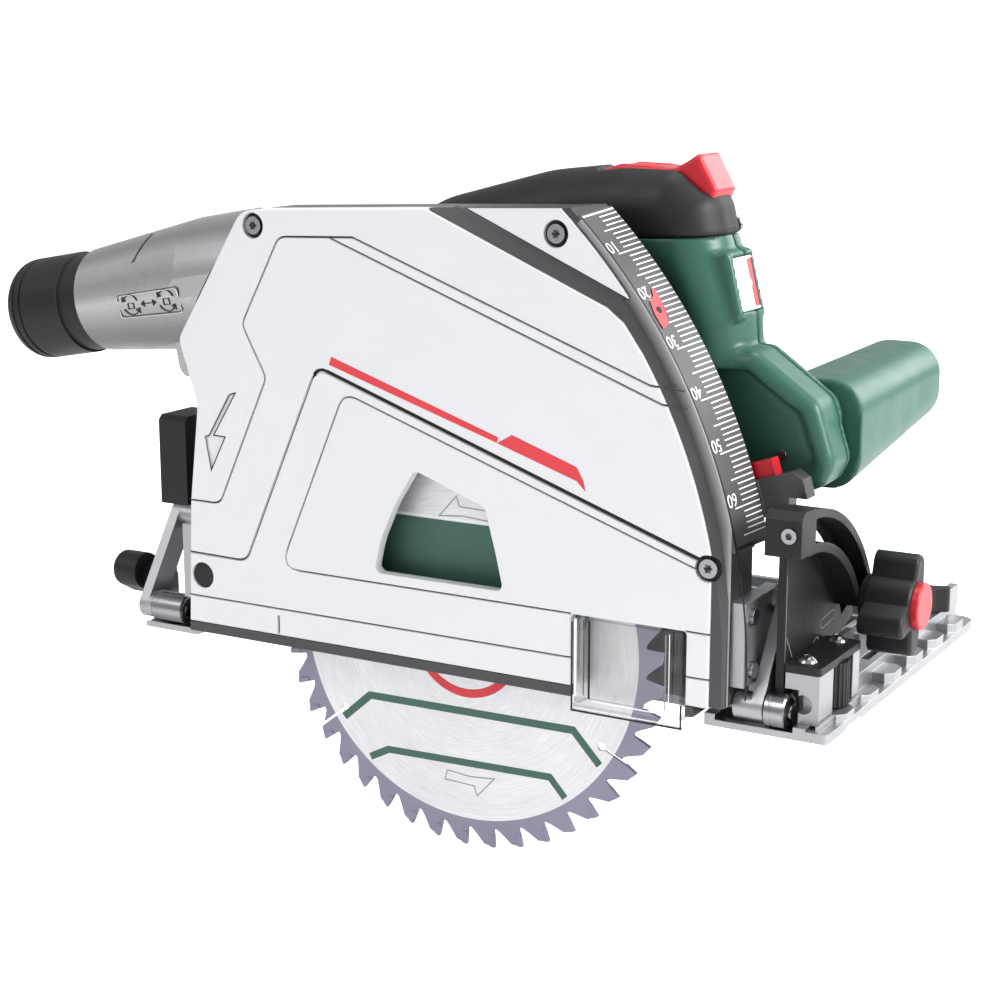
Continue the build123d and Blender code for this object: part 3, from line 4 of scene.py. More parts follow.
import bpy
import numpy as np
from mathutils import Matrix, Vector


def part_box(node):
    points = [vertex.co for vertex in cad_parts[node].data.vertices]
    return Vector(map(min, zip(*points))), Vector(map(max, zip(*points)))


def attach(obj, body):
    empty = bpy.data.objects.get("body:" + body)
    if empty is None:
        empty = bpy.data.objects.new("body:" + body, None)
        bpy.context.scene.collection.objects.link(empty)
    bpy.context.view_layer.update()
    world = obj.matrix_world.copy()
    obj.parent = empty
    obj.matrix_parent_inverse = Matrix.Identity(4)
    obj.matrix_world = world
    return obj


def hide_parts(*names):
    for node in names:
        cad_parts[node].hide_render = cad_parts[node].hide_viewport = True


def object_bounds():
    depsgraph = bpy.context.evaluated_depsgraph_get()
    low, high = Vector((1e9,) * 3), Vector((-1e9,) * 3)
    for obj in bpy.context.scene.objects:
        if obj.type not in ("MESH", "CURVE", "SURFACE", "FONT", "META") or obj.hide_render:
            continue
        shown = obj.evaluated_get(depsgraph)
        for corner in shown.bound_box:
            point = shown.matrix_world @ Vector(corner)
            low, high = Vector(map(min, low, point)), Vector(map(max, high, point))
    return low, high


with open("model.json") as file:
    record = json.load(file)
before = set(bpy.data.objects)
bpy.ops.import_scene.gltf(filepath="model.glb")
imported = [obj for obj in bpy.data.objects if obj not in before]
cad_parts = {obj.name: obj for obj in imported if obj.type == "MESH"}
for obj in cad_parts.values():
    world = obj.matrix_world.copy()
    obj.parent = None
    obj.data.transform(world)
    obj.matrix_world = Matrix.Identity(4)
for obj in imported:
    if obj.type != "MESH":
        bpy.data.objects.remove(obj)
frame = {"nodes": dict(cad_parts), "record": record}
CAD_LOW, CAD_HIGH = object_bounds()
MM = 0.001

# Places in the shared frame, in millimetres. Pairs are X and Z.
ARC = (-100.0, 20.0)            # centre of the depth scale's arc
SCALE_RADIUS = 216.0
COVER_Y = -12.0                 # flat front of the guard cover
BLADE_AXIS = (0.0, 16.5)
BLADE_Y = -0.6                  # front face of the blade
COATED_RADIUS = 71.8            # the blade is coated outside this radius
PLUNGE_AXIS = (-114.0, 28.0)
MOTOR_AXIS = (-8.0, 48.0)
BEVEL_Z = 8.5                   # height of the bevel axis
SECTOR_X = 126.0                # front face of the front bevel quadrant
SEAM_Y = 45.0                   # plane where the two handle shells meet


# ---- materials ------------------------------------------------------------------------
def linear(r, g, b):
    """8-bit sRGB values as a linear colour."""
    out = []
    for c in (r, g, b):
        c /= 255
        out.append(c / 12.92 if c <= 0.04045 else ((c + 0.055) / 1.055) ** 2.4)
    return (*out, 1.0)


class Graph:
    """Short way to add and link shader nodes."""

    def __init__(self, name):
        self.mat = bpy.data.materials.new(name)
        self.mat.use_nodes = True
        self.tree = self.mat.node_tree
        self.tree.nodes.clear()
        self.out = self.add("ShaderNodeOutputMaterial")
        self.coords = self.add("ShaderNodeTexCoord").outputs["Object"]

    def add(self, kind, **inputs):
        node = self.tree.nodes.new(kind)
        for key, value in inputs.items():
            self.set(node, key, value)
        return node

    def set(self, node, key, value):
        """Links or sets an input: by its name with _ for a space, or by i and its number."""
        numbered = key[0] == "i" and key[1:].isdigit()
        socket = node.inputs[int(key[1:]) if numbered else key.replace("_", " ")]
        if isinstance(value, bpy.types.NodeSocket):
            self.tree.links.new(value, socket)
        else:
            socket.default_value = value

    def noise(self, scale, detail=3.0, stretch=None):
        vector = self.coords
        if stretch:
            vector = self.add("ShaderNodeMapping", Vector=self.coords, Scale=stretch).outputs["Vector"]
        node = self.add("ShaderNodeTexNoise", Vector=vector, Scale=scale, Detail=detail, Roughness=0.6)
        return node.outputs["Fac"]

    def remap(self, value, low, high, out_low, out_high):
        node = self.add("ShaderNodeMapRange", Value=value, From_Min=low, From_Max=high, To_Min=out_low,
                        To_Max=out_high)
        return node.outputs["Result"]

    def math(self, operation, a, b=0.5):
        node = self.add("ShaderNodeMath", i0=a, i1=b)
        node.operation = operation
        return node.outputs[0]

    def mix(self, factor, a, b, blend="MIX"):
        node = self.tree.nodes.new("ShaderNodeMix")
        node.data_type = "RGBA"
        node.blend_type = blend
        self.set(node, "i0", factor)
        self.set(node, "i6", a)
        self.set(node, "i7", b)
        return node.outputs[2]

    def bevel(self, radius):
        node = self.add("ShaderNodeBevel", Radius=radius)
        node.samples = 4
        return node.outputs["Normal"]

    def edge(self, rounded):
        """1 on sharp edges, 0 on flats."""
        dot = self.add("ShaderNodeVectorMath", i0=rounded, i1=self.flat_normal())
        dot.operation = "DOT_PRODUCT"
        return self.remap(dot.outputs["Value"], 0.995, 0.86, 0.0, 1.0)

    def bands(self, normal):
        """Painted reflections: bright and dark bands by the tilt of the surface, as polished round metal shows under
        studio lamps.
        """
        tilt = self.add("ShaderNodeSeparateXYZ", Vector=normal).outputs["Z"]
        ramp = self.add("ShaderNodeValToRGB", Fac=self.remap(tilt, -1.0, 1.0, 0.0, 1.0))
        stops = ((0.0, 0.30), (0.22, 0.48), (0.36, 0.72), (0.46, 1.0),
                 (0.62, 0.80), (0.78, 1.0), (0.88, 0.62), (1.0, 0.82))
        for i, (place, value) in enumerate(stops):
            stop = ramp.color_ramp.elements[i] if i < 2 else ramp.color_ramp.elements.new(place)
            stop.position = place
            stop.color = (value, value, value, 1)
        return ramp.outputs["Color"]

    def bump(self, height, strength, distance, normal):
        node = self.add("ShaderNodeBump", Height=height, Strength=strength, Distance=distance, Normal=normal)
        return node.outputs["Normal"]

    def flat_normal(self):
        return self.add("ShaderNodeNewGeometry").outputs["Normal"]

    def surface(self, **inputs):
        """Ends the graph in a principled shader and gives the material."""
        shader = self.add("ShaderNodeBsdfPrincipled", **inputs)
        self.tree.links.new(shader.outputs[0], self.out.inputs["Surface"])
        return self.mat


def scaled(colour, gain, add=0.0):
    """The colour times a gain, kept within white."""
    return tuple(min(1.0, c * gain + add) for c in colour[:3]) + (1.0,)


def finish_material(name, colour, rough, metal=0.0, grain=1500.0, grain_bump=0.12, drift=0.06, edge_gain=0.25,
                    edge_mm=0.5, stretch=None, coat=0.0, edge_colour=None, painted_reflections=False):
    """Paint, plastic or metal with slow colour drift, fine grain, uneven gloss and softened edges; the edges are
    lightened, partly as scuffing and partly as painted edge highlight, and round metal can get painted reflection
    bands.
    """
    g = Graph(name)
    slow = g.noise(22.0, 4.0)
    fine = g.noise(grain, 2.0, stretch)
    base = g.mix(slow, scaled(colour, 1 - drift), scaled(colour, 1 + drift))
    base = g.mix(g.remap(fine, 0.3, 0.7, 0.0, drift), base, scaled(colour, 0.7))
    rounded = g.bevel(edge_mm * MM)
    # edges lightened with edge_colour: partly scuffing, partly painted edge highlight
    wear_and_sheen = g.remap(g.noise(90.0, 3.0), 0.35, 0.7, 0.2 * edge_gain, edge_gain)
    worn_and_lit = g.math("MULTIPLY", g.edge(rounded), wear_and_sheen)
    base = g.mix(worn_and_lit, base, edge_colour or scaled(colour, 1.5, 0.06))
    # painted reflections: bands by surface tilt multiplied into the colour
    if painted_reflections:
        base = g.mix(1.0, base, g.bands(rounded), "MULTIPLY")
    gloss_drift = 0.06
    roughness = g.remap(g.noise(60.0, 5.0), 0.3, 0.7, max(0.02, rough - gloss_drift), min(1.0, rough + gloss_drift))
    normal = g.bump(fine, grain_bump, 0.06 * MM, rounded)
    normal = g.bump(g.noise(7.0, 2.0), 0.04, 0.6 * MM, normal)
    return g.surface(Base_Color=base, Roughness=roughness, Metallic=metal, Normal=normal, Coat_Weight=coat,
                     Coat_Roughness=0.15)


def ink(name, colour, rough=0.5, drift=0.06):
    """Matt flat colour without lightened edges, for printed ink and for painted shade and highlights."""
    return finish_material(name, colour, rough, grain=2600.0, grain_bump=0.1, drift=drift, edge_gain=0.0,
                           edge_mm=0.05)


def brushed_disc(name, colour):
    """Ground steel with circular marks about the blade's axis, coated near its rim."""
    g = Graph(name)
    shifted = g.add("ShaderNodeVectorMath", i0=g.coords, i1=(BLADE_AXIS[0] * MM, 0.0, BLADE_AXIS[1] * MM))
    shifted.operation = "SUBTRACT"
    split = g.add("ShaderNodeSeparateXYZ", Vector=shifted.outputs[0])
    x, z = split.outputs["X"], split.outputs["Z"]
    radius = g.math("SQRT", g.math("ADD", g.math("MULTIPLY", x, x), g.math("MULTIPLY", z, z)), 0.0)
    turned = g.add("ShaderNodeCombineXYZ", X=radius, Y=g.math("MULTIPLY", g.math("ARCTAN2", z, x), 0.004)).outputs[0]
    rings = g.add("ShaderNodeTexNoise", Vector=turned, Scale=1400.0, Detail=4.0).outputs["Fac"]
    wide = g.add("ShaderNodeTexNoise", Vector=turned, Scale=160.0, Detail=2.0).outputs["Fac"]
    slow = g.noise(18.0, 3.0)
    base = g.mix(g.remap(rings, 0.3, 0.7, 0.0, 1.0), scaled(colour, 0.86), colour)
    base = g.mix(g.remap(slow, 0.3, 0.7, 0.0, 0.12), base, (0.25, 0.25, 0.26, 1))
    normal = g.bump(rings, 0.12, 0.04 * MM, g.bevel(0.2 * MM))
    rim = g.math("GREATER_THAN", radius, COATED_RADIUS * MM)
    coating = g.mix(slow, linear(136, 133, 152), linear(154, 151, 170))
    base = g.mix(rim, base, coating)
    metal = g.remap(rim, 0.0, 1.0, 0.45, 0.25)
    return g.surface(Base_Color=base, Metallic=metal, Roughness=g.remap(wide, 0.3, 0.7, 0.28, 0.45), Normal=normal)


def shade_material(name, dark, light, rough, metal):
    """Painted shade and highlight: colour that runs from dark to light with the shade value stored on the mesh."""
    g = Graph(name)
    attribute = g.tree.nodes.new("ShaderNodeAttribute")
    attribute.attribute_name = "shade"
    fine = g.noise(3000.0, 2.0)
    mottled = g.remap(g.noise(40.0, 3.0), 0.3, 0.7, -0.04, 0.04)
    base = g.mix(g.math("ADD", attribute.outputs["Fac"], mottled), dark, light)
    roughness = g.remap(fine, 0.3, 0.7, rough - 0.05, rough + 0.06)
    normal = g.bump(fine, 0.1, 0.05 * MM, g.flat_normal())
    return g.surface(Base_Color=base, Metallic=metal, Roughness=roughness, Normal=normal)


def clear_material(name):
    """Clear moulded plastic with faint haze and scratches, and painted shade: dark diffuse on its edges and at
    glancing angles.
    """
    g = Graph(name)
    scratch = g.noise(500.0, 4.0, (1.0, 1.0, 0.06))
    rounded = g.bevel(0.3 * MM)
    normal = g.bump(scratch, 0.05, 0.04 * MM, rounded)
    clear = g.add("ShaderNodeBsdfTransparent", Color=(0.985, 0.985, 0.985, 1))
    roughness = g.remap(scratch, 0.4, 0.7, 0.03, 0.12)
    gloss = g.add("ShaderNodeBsdfGlossy", Color=(1, 1, 1, 1), Roughness=roughness, Normal=normal)
    # painted shade: dark diffuse mixed in on sharp edges and at glancing angles of the clear moulding
    rim = g.add("ShaderNodeBsdfDiffuse", Color=(0.10, 0.10, 0.11, 1))
    facing = g.add("ShaderNodeLayerWeight", Blend=0.35, Normal=normal)
    edge = g.math("MAXIMUM", g.math("MULTIPLY", g.edge(rounded), 0.55),
                  g.remap(facing.outputs["Facing"], 0.45, 1.0, 0.0, 0.6))
    body = g.add("ShaderNodeMixShader", Fac=g.math("ADD", edge, 0.015), i1=clear.outputs[0], i2=rim.outputs[0])
    shine = g.remap(g.add("ShaderNodeFresnel", IOR=1.3, Normal=normal).outputs[0], 0.0, 1.0, 0.02, 0.6)
    full = g.add("ShaderNodeMixShader", Fac=shine, i1=body.outputs[0], i2=gloss.outputs[0])
    g.tree.links.new(full.outputs[0], g.out.inputs["Surface"])
    return g.mat


COVER = finish_material("cover_panel", linear(226, 227, 230), 0.42, grain=2600.0, grain_bump=0.10, drift=0.018,
                        edge_gain=0.35, edge_mm=0.5, coat=0.25, edge_colour=(1, 1, 1, 1))
HOUSING = finish_material("housing_metallic", linear(84, 84, 86), 0.38, metal=0.55, grain=3200.0, grain_bump=0.10,
                          drift=0.10, edge_gain=0.35, edge_mm=0.6, coat=0.2, edge_colour=linear(168, 168, 170))
BLACK = finish_material("moulded_black", linear(33, 33, 35), 0.46, grain=2400.0, grain_bump=0.28, drift=0.10,
                        edge_gain=0.45, edge_mm=0.5, edge_colour=linear(120, 120, 122))
GREEN = finish_material("moulded_green", linear(60, 102, 89), 0.36, grain=2200.0, grain_bump=0.24, drift=0.06,
                        edge_gain=0.30, edge_mm=0.6, edge_colour=linear(120, 160, 145))
RED = finish_material("moulded_red", linear(198, 38, 50), 0.38, grain=2200.0, grain_bump=0.10, drift=0.05,
                      edge_gain=0.35, edge_mm=0.5, coat=0.3, edge_colour=linear(240, 130, 135))
CAST = finish_material("cast_metal", linear(176, 177, 180), 0.38, metal=0.85, grain=1800.0, grain_bump=0.22,
                       drift=0.08, edge_gain=0.5, edge_mm=0.4, edge_colour=linear(240, 240, 242))
STEEL = finish_material("turned_steel", linear(172, 173, 176), 0.26, metal=1.0, grain=3000.0, grain_bump=0.10,
                        drift=0.07, edge_gain=0.4, edge_mm=0.25, painted_reflections=True)
RUBBER = finish_material("soft_grip", linear(34, 34, 36), 0.50, grain=2600.0, grain_bump=0.45, drift=0.12,
                         edge_gain=0.12, edge_mm=0.8, edge_colour=linear(90, 90, 92))
SPOUT = finish_material("spout_silver", linear(190, 190, 192), 0.30, metal=0.7, grain=3200.0, grain_bump=0.10,
                        drift=0.05, edge_gain=0.0, edge_mm=0.1, coat=0.1, painted_reflections=True)
SCALE = finish_material("scale_strip", linear(86, 86, 88), 0.42, grain=1800.0, grain_bump=0.12, drift=0.08,
                        edge_gain=0.2, edge_mm=0.2)
COPPER = finish_material("enamelled_copper", linear(190, 110, 66), 0.35, metal=0.9, grain=900.0, grain_bump=0.6,
                         drift=0.1, stretch=(1.0, 0.05, 1.0))
LAMINATED = finish_material("laminations", linear(120, 120, 124), 0.45, metal=0.8, grain=900.0, grain_bump=0.6,
                            drift=0.12, stretch=(0.05, 1.0, 0.05))
BADGE = finish_material("badge_plate", linear(232, 232, 233), 0.3, grain=1600.0, grain_bump=0.05, drift=0.02,
                        edge_gain=0.2, edge_mm=0.3, coat=0.5)
BLADE = brushed_disc("blade_steel", linear(236, 236, 239))
CLEAR = clear_material("clear_moulding")
RIM_PAINTED_SHADE = shade_material("rim_painted_shade", linear(40, 40, 42), linear(150, 150, 152), 0.38, 0.2)
# the white, grey and dark flat colours serve both print and painted highlights and shade
WHITE_INK_AND_HIGHLIGHT = ink("white_ink_and_highlight", linear(244, 244, 244), drift=0.03)
RED_INK = ink("red_ink", linear(222, 74, 82), 0.45, 0.05)
GREEN_INK = ink("green_ink", linear(74, 110, 96), 0.45)
GREY_INK_AND_HIGHLIGHT = ink("grey_ink_and_highlight", linear(150, 150, 154), drift=0.05)
DARK_INK_AND_SHADE = ink("dark_ink_and_shade", linear(34, 34, 36))
GROOVE_SHADE = ink("groove_shadow", linear(70, 70, 73), 0.6, 0.08)

SLOT_MATERIAL = {
    "cover_paint": COVER, "housing_paint": HOUSING, "black_plastic": BLACK, "green_plastic": GREEN,
    "red_plastic": RED, "cast_metal": CAST, "steel": STEEL, "blade_steel": BLADE, "rubber_grip": RUBBER,
    "spout_paint": SPOUT, "clear_plastic": CLEAR, "scale_print": SCALE, "copper": COPPER,
    "laminations": LAMINATED, "badge_plate": BADGE,
}


def smooth(mesh, sharp_degrees=180):
    """Smooth shading, with edges steeper than an angle kept sharp."""
    mesh.polygons.foreach_set("use_smooth", [True] * len(mesh.polygons))
    if sharp_degrees < 180:
        mesh.set_sharp_from_angle(angle=math.radians(sharp_degrees))


def dress_cad():
    """Gives every CAD node the material of its slot, with smooth shading between its sharp edges."""
    for part in frame["record"]["subparts"]:
        node = frame["nodes"][part["node"]]
        node.data.materials.clear()
        node.data.materials.append(SLOT_MATERIAL[part["material_slot"]])
        smooth(node.data, 32)


# ---- drawing helpers ------------------------------------------------------------------
def new_mesh(name, verts, faces):
    mesh = bpy.data.meshes.new(name)
    mesh.from_pydata(verts, [], faces)
    return mesh


def add_piece(mesh, material, body):
    """Puts a mesh in the scene, riding on a CAD body."""
    mesh.validate()
    mesh.materials.append(material)
    obj = bpy.data.objects.new(mesh.name, mesh)
    bpy.context.scene.collection.objects.link(obj)
    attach(obj, body)
    return obj


def mesh_piece(name, verts, faces, material, body):
    """Adds a piece made of vertices in millimetres."""
    return add_piece(new_mesh(name, [Vector(v) * MM for v in verts], faces), material, body)


def print_piece(name, shapes, place, material, body):
    """Adds flat printed shapes: lists of (u, v) corners that place() puts on a surface."""
    verts, faces = [], []
    for shape in shapes:
        start = len(verts)
        verts += [place(u, v) for u, v in shape]
        faces.append(list(range(start, len(verts))))
    mesh_piece(name, verts, faces, material, body)


def shade_strip(name, rows, material, body):
    """Smooth band of quads between rows of (x, y, z, shade) points; the shade value drives painted shade."""
    count = len(rows[0])
    faces = [(i * count + j, i * count + j + 1, (i + 1) * count + j + 1, (i + 1) * count + j)
             for i in range(len(rows) - 1) for j in range(count - 1)]
    obj = mesh_piece(name, [p[:3] for row in rows for p in row], faces, material, body)
    layer = obj.data.attributes.new("shade", "FLOAT", "POINT")
    layer.data.foreach_set("value", [p[3] for row in rows for p in row])
    smooth(obj.data)


def strip_shapes(points, width):
    """Mitred quads along an open polyline."""
    points = [Vector((*p, 0)) for p in points]
    sides = []
    for i, p in enumerate(points):
        before = (p - points[i - 1]).normalized() if i else (points[1] - p).normalized()
        after = (points[i + 1] - p).normalized() if i < len(points) - 1 else before
        tangent = (before + after).normalized()
        normal = Vector((-tangent.y, tangent.x, 0))
        grow = width / 2 / max(0.3, normal.dot(Vector((-before.y, before.x, 0))))
        sides.append((p + normal * grow, p - normal * grow))
    return [[tuple(p[:2]) for p in (a[0], b[0], b[1], a[1])] for a, b in zip(sides, sides[1:])]


def strips(*lines):
    """Quads along several polylines, each given with its width."""
    return [shape for points, width in lines for shape in strip_shapes(points, width)]


def plane(y):
    """Places print on a plane across Y."""
    return lambda u, v: (u, y, v)


def polar(centre, radius, degrees):
    """Point at a radius and an angle about a centre."""
    a = math.radians(degrees)
    return centre[0] + radius * math.cos(a), centre[1] + radius * math.sin(a)


def arc_points(centre, radius, start, end, steps):
    """Points along an arc, in degrees."""
    return [polar(centre, radius, start + (end - start) * i / steps) for i in range(steps + 1)]


def letter_shapes(text, height):
    """Triangles of a text, centred, with the given height."""
    curve = bpy.data.curves.new("letters", "FONT")
    curve.body = text
    curve.align_x = "CENTER"
    curve.align_y = "CENTER"
    temp = bpy.data.objects.new("letters", curve)
    bpy.context.scene.collection.objects.link(temp)
    mesh = bpy.data.meshes.new_from_object(temp)
    size = height / (max(v.co.y for v in mesh.vertices) - min(v.co.y for v in mesh.vertices))
    corners = [(v.co.x * size, v.co.y * size) for v in mesh.vertices]
    shapes = [[corners[i] for i in p.vertices] for p in mesh.polygons]
    bpy.data.objects.remove(temp)
    bpy.data.meshes.remove(mesh)
    return shapes


# ---- depth scale ----------------------------------------------------------------------
STRIP_NEAR, STRIP_WIDE, STRIP_RISE = -8.0, 20.5, 3.0    # near edge, width and rise of the strip
TEN_ANGLE, MM_ANGLE = 41.15, 0.51                       # angle of the 10 mm line, and for each millimetre
LINE_END = 12.2


def on_scale(y, angle, lift=0.06):
    """Point on the scale strip at a Y and an angle about the arc axis."""
    x, z = polar(ARC, SCALE_RADIUS + (y - STRIP_NEAR) / STRIP_WIDE * STRIP_RISE + lift, angle)
    return (x, y, z)


def scale_angle(depth):
    """Angle of the line for a cutting depth in millimetres."""
    return TEN_ANGLE - MM_ANGLE * (depth - 10)


def scale_print():
    """White millimetre lines and numbers on the scale strip."""
    lines = []
    for depth in range(1, 66):
        near = -3.6 if depth % 10 == 0 else -1.9 if depth % 5 == 0 else 1.4
        low, high = scale_angle(depth) - 0.062, scale_angle(depth) + 0.062
        lines.append([(near, low), (LINE_END, low), (LINE_END, high), (near, high)])
    lines.append([(-7.0, 45.62), (LINE_END, 45.62), (LINE_END, 45.80), (-7.0, 45.80)])
    print_piece("scale_lines", lines, on_scale, WHITE_INK_AND_HIGHLIGHT, "guard")
    shapes = []
    for depth in range(10, 61, 10):
        middle = scale_angle(depth) + 0.86
        for shape in letter_shapes(str(depth), 4.5):
            shapes.append([(-4.3 - u * 0.92, middle - math.degrees(v / SCALE_RADIUS)) for u, v in shape])
    print_piece("scale_numbers", shapes, on_scale, WHITE_INK_AND_HIGHLIGHT, "guard")


def scale_marker():
    """Red moulded marker beside the scale, with a round window."""
    outline = [(1.0, 37.2), (2.2, 36.6), (1.4, 34.9), (-1.2, 33.4), (-5.6, 33.1), (-5.9, 34.6), (-4.4, 35.9),
               (-1.0, 36.3)]
    print_piece("scale_marker", [outline], lambda y, a: on_scale(y, a, 0.35), RED, "guard")
    ring = arc_points((0, 0), 1.3, 0, 360, 18)[:-1]
    spot = [(-2.2 + u, 34.9 + math.degrees(v / SCALE_RADIUS)) for u, v in ring]
    print_piece("scale_marker_window", [spot], lambda y, a: on_scale(y, a, 0.42), DARK_INK_AND_SHADE, "guard")


# ---- cover and blade print ------------------------------------------------------------
on_cover = plane(COVER_Y - 0.04)
on_blade = plane(BLADE_Y - 0.04)


def cover_print():
    """Red line and flag below the plain field of the cover."""
    red = [[(-50.8, 119.8), (-51.8, 116.7), (20.0, 94.1), (20.6, 96.2)],
           [(20.0, 94.0), (22.0, 93.4), (52.1, 83.6), (55.7, 80.1), (54.8, 84.0), (52.1, 88.6), (26.1, 97.6)]]
    print_piece("cover_red_line", red, on_cover, RED_INK, "guard")


# radius about the arc axis, Y and painted shade (0 dark, 1 light) across the rolled rim
RIM_PROFILE = ((208.5, -9.04, 0.0), (211.0, -9.06, 0.15), (213.0, -9.20, 0.45), (214.8, -9.45, 0.85),
               (215.9, -9.45, 1.0), (216.25, -8.9, 0.9))
RIM_FIRST, RIM_STEP, RIM_STEPS = 14.0, 0.42, 76     # degrees
NARROW_ANGLE, NARROW_RADIUS = 36.9, 213.8           # above this angle the rim starts at this radius


def between(a, b, t):
    """Point part of the way from a to b."""
    return tuple(p + (q - p) * t for p, q in zip(a, b))


def rim_print():
    """Rolled rim between the cover and the scale and the sloped band below the corner panel, both with painted shade
    running from dark to light, and the dark seam beside the scale.
    """
    # painted shade and highlight across the rim, first along a straight upright run, then round the arc
    rows = []
    for z in (9.5, 25.0, 40.0, 52.0, 62.0):
        rows.append([(104.2 + (r - RIM_PROFILE[0][0]) * 0.74, y, z, t) for r, y, t in RIM_PROFILE])
    for step in range(RIM_STEPS):
        degrees = RIM_FIRST + step * RIM_STEP
        inner = NARROW_RADIUS if degrees > NARROW_ANGLE else 0.0
        row = []
        for r, y, t in RIM_PROFILE:
            x, z = polar(ARC, max(r, inner), degrees)
            row.append((x, y, z, t))
        rows.append(row)
    shade_strip("rim_painted_shade_band", rows, RIM_PAINTED_SHADE, "guard")
    # painted shade across the sloped band below the corner panel, dark next to the cover
    rows = []
    for step in range(12):
        low = between((-6.0, 174.2), (69.0, 142.2), step / 11)
        high = between((3.2, 177.4), (71.2, 147.0), step / 11)
        row = []
        for u, shade in ((0.02, 0.02), (0.3, 0.1), (0.6, 0.38), (0.95, 0.6)):
            x, z = between(low, high, u)
            row.append((x, -9.05 - 0.05 * u, z, shade))
        rows.append(row)
    shade_strip("slope_painted_shade_band", rows, RIM_PAINTED_SHADE, "guard")
    seam = [[(-8.6, a), (-7.5, a), (-7.5, a + 1.02), (-8.6, a + 1.02)] for a in range(-2, 46)]
    print_piece("scale_seam", seam, lambda y, a: on_scale(y, a, 0.12), DARK_INK_AND_SHADE, "guard")


# centre line with corner radii, width and depth
COVER_GROOVES = (
    ([(-120.0, 58.1), (-104.5, 58.1, 5), (-80.8, 109.6, 5), (-91.5, 129.3, 5), (-73.5, 163.0, 5),
      (-40.6, 164.2)], 0.55, 0.9),
    ([(-40.6, 164.2), (79.8, 119.6), (92.5, 118.5)], 0.5, 0.9),
    ([(-50.7, 163.6), (84.4, 113.4), (93.5, 112.5)], 0.5, 0.9),
    ([(-120.5, 36.9), (-92.5, 36.5, 6), (-57.5, 115.6)], 0.6, 0.9),
    ([(-59.6, 110.9), (-57.5, 115.6, 4), (100.0, 61.0)], 1.5, 0.9),
    ([(50.0, 35.4), (-76.2, 35.8, 6), (-45.5, 106.8, 6), (100.0, 57.2)], 0.45, 0.7),
    ([(-121.3, 19.4), (50.0, 19.1)], 0.45, 0.7), ([(95.0, 35.3), (103.9, 35.2)], 0.45, 0.7),
    ([(95.0, 19.0), (103.9, 19.0)], 0.45, 0.7), ([(-77.7, 16.2), (-77.7, 9.6)], 0.7, 0.7),
)
# wide grooves get the darker painted shade
WIDE_GROOVE = 1.0               # grooves wider than this show dark
COVER_SCREWS = ((-85.3, 166.6, -10.2), (102.6, 58.4, -10.2), (42.3, 169.0, -8.7))    # X, Z and Y of the head


def groove_print():
    """Painted shadow in the bottoms of the cover grooves, in the wells and drive recesses of the cover screws, and
    along the edges of the arrow.
    """
    for name, wide, material in (("cover_groove_shade", False, GROOVE_SHADE), ("cover_groove_wide_shade", True, DARK_INK_AND_SHADE)):
        verts, faces = [], []
        for points, width, depth in COVER_GROOVES:
            if (width > WIDE_GROOVE) != wide:
                continue
            for shape in strip_shapes(rounded(points), width):
                faces.append(range(len(verts), len(verts) + len(shape)))
                verts += [(u, COVER_Y + depth - 0.05, v) for u, v in shape]
        mesh_piece(name, verts, faces, material, "guard")
    for number, (x, z, y) in enumerate(COVER_SCREWS):
        ring = strip_shapes(arc_points((x, z), 4.05, 0, 360, 32), 1.35)
        print_piece(f"screw_well_shade_{number}", ring, plane(y - 0.04), DARK_INK_AND_SHADE, "guard")
        star = [polar((x, z), 1.05 + 0.42 * math.cos(6 * math.radians(a)), a) for a in range(0, 360, 6)]
        print_piece(f"screw_star_shade_{number}", [star], plane(y - 0.68), DARK_INK_AND_SHADE, "guard")
    arrow = [(-98.5, 101.5), (-95.5, 102.5), (-106.5, 85.0), (-101.0, 84.8), (-108.2, 71.0), (-110.6, 84.2),
             (-108.8, 84.6), (-98.5, 101.5)]
    print_piece("cover_arrow_shade", strip_shapes(arrow, 0.5), on_cover, GROOVE_SHADE, "guard")


SPOUT_ORIGIN = (-141.0, 14.0, 137.5)
SPOUT_AXIS = polar((0.0, 0.0), 1.0, 10.0)           # X and Z down the tilted tube
SPOUT_RADIUS = 26.2
TAPER_FROM, TAPER_LONG, TAPER_DROP = -18.0, 56.0, 5.2


def on_spout(s, angle, lift=0.2):
    """Point on the spout at a distance along its axis and an angle from its top towards the front."""
    radius = SPOUT_RADIUS - TAPER_DROP * max(s - TAPER_FROM, 0.0) / TAPER_LONG + lift
    up, front = polar((0.0, 0.0), radius, angle)
    return (SPOUT_ORIGIN[0] - s * SPOUT_AXIS[0] - up * SPOUT_AXIS[1], SPOUT_ORIGIN[1] - front,
            SPOUT_ORIGIN[2] - s * SPOUT_AXIS[1] + up * SPOUT_AXIS[0])


